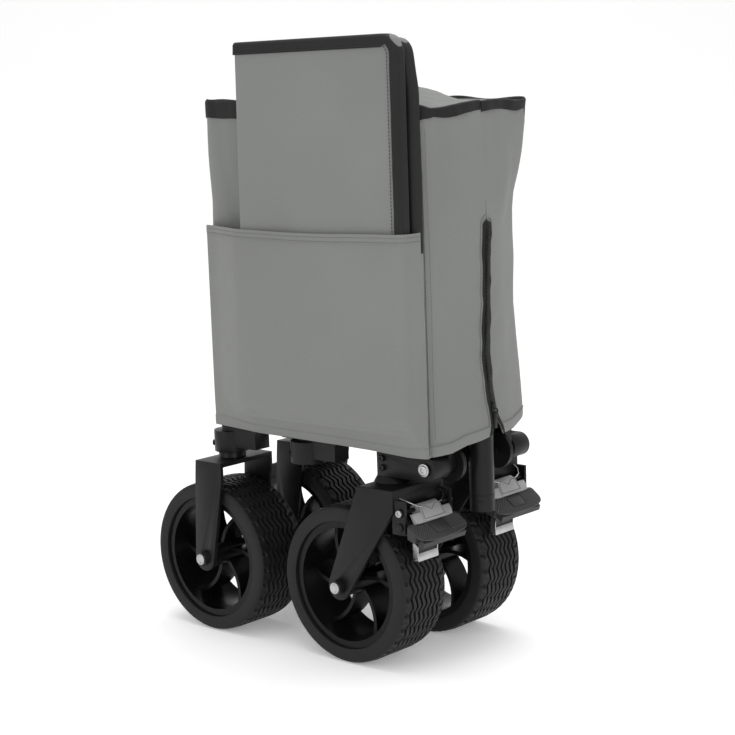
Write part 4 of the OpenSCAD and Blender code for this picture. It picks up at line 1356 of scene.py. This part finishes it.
def release_pedal(side):
    low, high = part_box(f"release_pedal_{side}")
    y = (low.y + high.y) / 2
    slope = Slope((low.x + 12.1 * MM, y, high.z - 1.3 * MM), RELEASE_TILT)
    body = f"front_{side}_release"
    lobe_edge = [(24, 7.2), (32, 7.4), (34.6, 9), (35.6, 12), (34.8, 17), (32.5, 19.6), (28, 20.4)]
    lobes = plate_on(slope, mirrored(lobe_edge), -2.6, 0.5)
    tab = plate_on(slope, mirrored([(16.5, 0), (18.6, 1.2), (20.6, 17.6), (19.4, 19.4)]), -3.2, 1.7)
    plate = join([lobes, tab], "plate")
    dress(plate, f"release_plate_{side}", body, RELEASE, 40)
    # dark beads round the tab and along the chevron: painted shade along its edges
    shade_lines = []
    for path in ([(-17.6, 1.6), (-8.5, 1.8), (0, 7.6), (8.5, 1.8), (17.6, 1.6)],
                 [(-17.0, 2.4), (-18.9, 17.4)], [(17.0, 2.4), (18.9, 17.4)], [(-18.4, 17.0), (18.4, 17.0)]):
        shade_lines += [slope.place(a, b, 0.8, 0.7, 1.75) for a, b in zip(path, path[1:])]
    shade_lines = repeat(unit_bar(), shade_lines, "shade_lines")
    dress(shade_lines, f"release_painted_shade_{side}", body, RELEASE_PAINTED_SHADE, 40)
    wires = []
    for k in (-1, 1):
        points = [(k * 37, -17, -6), (k * 33, -9, 0), (k * 27, -2.5, 3.2), (k * 21, 0.8, 2.6),
                  (k * 16, 1.6, 2.4)]
        wires.append(tube_along([slope.at(*p) for p in points], 0.7 * MM))
    wire = join(wires, "wire")
    dress(wire, f"release_spring_{side}", body, STEEL, 60)


def brake_pedal(side):
    low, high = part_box(f"brake_pedal_{side}")
    y = (low.y + high.y) / 2
    x, z = low.x + 5.5 * MM, high.z - 5.5 * MM
    slope = Slope((x + 12 * MM, y, z + 4.6 * MM), BRAKE_TILT)
    body = f"front_{side}_brake"
    pad_edge = [(43, 0.4), (46.4, 1.8), (47.6, 4), (47.8, 17), (46.2, 21.5), (42, 25.6), (34, 28.2),
                (22, 29.8), (9, 30.4)]
    pad = plate_on(slope, mirrored(pad_edge), -1.6, 0.9)
    centre = plate_on(slope, mirrored([(13.5, 7.5), (11.5, 22.5)]), 0.5, 2.0, 0.4)
    ribs = []
    for start in np.arange(-9, 43, 3.7):
        top = max(3.2, 3.2 + (15 - start) / 1.15)
        end = min(26.0, 3.2 + (45 - start) / 1.15)
        if end - top < 2.5:
            continue
        a = (start + (top - 3.2) * 1.15, top)
        b = (start + (end - 3.2) * 1.15, end - (2.2 if end > 24 else 0))
        for k in (-1, 1):
            ribs.append(slope.place((k * a[0], a[1]), (k * b[0], b[1]), 1.5, 1.5, 1.0))
    ribs = repeat(unit_bar(), ribs, "ribs")
    # the ribs take the lighter grey, a painted highlight on the ribs
    dress(ribs, f"brake_ribs_{side}", body, PEDAL_RIB_PAINTED_HIGHLIGHT, 40)
    whole = join([pad, centre], "pad")
    dress(whole, f"brake_pad_{side}", body, PEDAL_RUBBER, 40)

    face = Slope((x + 3.4 * MM, y, z - 33.5 * MM), FACE_TILT)
    strip = plate_on(face, mirrored([(19.2, 3.5), (19.4, 12.5), (18.4, 13.6)]), -1.2, 0.9, 0.4)
    lip = Slope((x - 4 * MM, y, z - 46.4 * MM), LIP_TILT)
    under = plate_on(lip, mirrored([(19.2, 0), (19.2, 8.4)]), -1.0, 0.3, 0.3)
    cheeks = []
    for k in (-1, 1):
        mesh = bpy.data.meshes.new("cheek")
        outline = [(x - 3 * MM, z - 21 * MM), (x + 5.5 * MM, z - 29 * MM), (x + 4.3 * MM, z - 46 * MM),
                   (x - 3 * MM, z - 43 * MM)]
        mesh.from_pydata([(px, y + k * 18.6 * MM, pz) for px, pz in outline], [], [(0, 1, 2, 3)])
        cheek = bpy.data.objects.new("cheek", mesh)
        bpy.context.scene.collection.objects.link(cheek)
        solidify(cheek, 1.3 * MM, 0)
        bevel(cheek, 0.3 * MM, 1)
        cheeks.append(cheek)
    clip = join([strip, under, *cheeks], "clip")
    dress(clip, f"brake_clip_{side}", body, STEEL, 40)


def brake_fittings():
    for side, sign in SIDES.items():
        release_pedal(side)
        brake_pedal(side)
        low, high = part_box(f"release_pedal_{side}")
        x, z = low.x + 5.5 * MM, high.z - 5.5 * MM
        y = (low.y + high.y) / 2
        for k in (-1, 1):
            socket_bolt(f"pin_head_{side}_{'out' if k == sign else 'in'}", f"front_{side}_caster",
                        (x, y + k * PIN_HEAD_OUT, z), (0, k, 0), 4.4 * MM, 2.2 * MM, STEEL,
                        washer=False)


# ------------------------------------------------------------------ softened frame parts


def soften(node, width=0.7 * MM):
    """A rolled-edge copy of a frame part stands for it, in the same place."""
    source = NODES[node]
    mesh = source.data.copy()
    piece = bpy.data.objects.new(node + "_finished", mesh)
    bpy.context.scene.collection.objects.link(piece)
    edit_all(piece)
    bpy.ops.mesh.remove_doubles(threshold=0.004 * MM)
    bpy.ops.mesh.select_all(action="SELECT")
    bpy.ops.mesh.dissolve_limited(angle_limit=math.radians(1.0), delimit={"NORMAL"})
    object_mode()
    bevel(piece, width, 2, 42)
    finish = source.data.materials[0]
    body = source["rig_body"]
    dress(piece, node + "_finished", body, finish, 30)
    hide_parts(node)


# ------------------------------------------------------------------ studio

FLOOR_SIZE = 14
FLOOR_AT = (-1.2, 1.6, 0)
FLOOR_GLOW = 0.22
BACKDROP_WAY = (-0.664, 0.748, 0)
BACKDROP_START = 2.6
BACKDROP_CURVE = 0.55
BACKDROP_TOP = 6
SKY_STRENGTH = 0.66


def studio():
    """The floor, its rising backdrop, the sky and three lamps."""
    deselect()
    bpy.ops.mesh.primitive_plane_add(size=FLOOR_SIZE, location=FLOOR_AT)
    floor = bpy.context.object
    edit_all(floor)
    bpy.ops.mesh.subdivide(number_cuts=60)
    object_mode()
    co = points_of(floor)
    back = Vector(BACKDROP_WAY)
    along = (co + np.array(FLOOR_AT)) @ np.array(back)
    rise = np.clip(along - BACKDROP_START, 0, None)
    co[:, 2] = np.where(rise > 0, np.minimum(rise ** 2 * BACKDROP_CURVE, BACKDROP_TOP), 0)
    set_points(floor, co)
    floor.name = "studio_floor"
    apply_place(floor)
    for face in floor.data.polygons:
        face.use_smooth = True
    material, _, shader = new_finish("studio_white")
    shader.inputs["Base Color"].default_value = (0.9, 0.9, 0.9, 1)
    shader.inputs["Emission Color"].default_value = (1, 1, 1, 1)
    shader.inputs["Emission Strength"].default_value = FLOOR_GLOW
    shader.inputs["Roughness"].default_value = 0.9
    shader.inputs["Specular IOR Level"].default_value = 0.1
    floor.data.materials.append(material)

    world = bpy.context.scene.world or bpy.data.worlds.new("studio_air")
    bpy.context.scene.world = world
    world.use_nodes = True
    sky = world.node_tree.nodes["Background"]
    sky.inputs[0].default_value = (1, 1, 1, 1)
    sky.inputs[1].default_value = SKY_STRENGTH

    def lamp(name, at, aim, size, power, shape="RECTANGLE", ratio=1.0):
        data = bpy.data.lights.new(name, "AREA")
        data.shape = shape
        data.size = size
        data.size_y = size * ratio
        data.energy = power
        lamp_object = bpy.data.objects.new(name, data)
        lamp_object.location = at
        lamp_object.rotation_mode = "QUATERNION"
        lamp_object.rotation_quaternion = (Vector(aim) - Vector(at)).to_track_quat("-Z", "Y")
        bpy.context.scene.collection.objects.link(lamp_object)

    lamp("top_light", (0.1, 0.2, 2.7), (0, 0, 0.2), 2.2, 42)
    lamp("left_light", (-0.7, -2.8, 1.0), (0, 0, 0.35), 1.0, 12, ratio=1.2)
    lamp("right_light", (2.3, -1.4, 1.2), (0, 0, 0.4), 0.9, 15, ratio=1.5)
    scene = bpy.context.scene
    scene.view_settings.view_transform = "Standard"
    scene.view_settings.look = "None"
    scene.view_settings.exposure = 0.0


studio()
wall = cover_wall()
wall_trim = [cover_hem(), cover_band(), seam_bead(U_FRONT_RIGHT, "corner_seam_right"),
             seam_bead(U_FRONT_LEFT, "corner_seam_left")]
panel = cover_panel()
pocket, pocket_trim = cover_pocket()
wall_trim += [cover_stitches(), *zip_pieces()]
floor_mat()
folded_liner()
for corner in CORNERS:
    build_tyre(f"tread_{corner}", f"{corner}_wheel", f"tyre_{corner}")
fasteners()
brake_fittings()
for corner in CORNERS:
    soften(f"fork_{corner}")
for side in SIDES:
    soften(f"post_front_{side}")
    soften(f"post_rear_{side}")
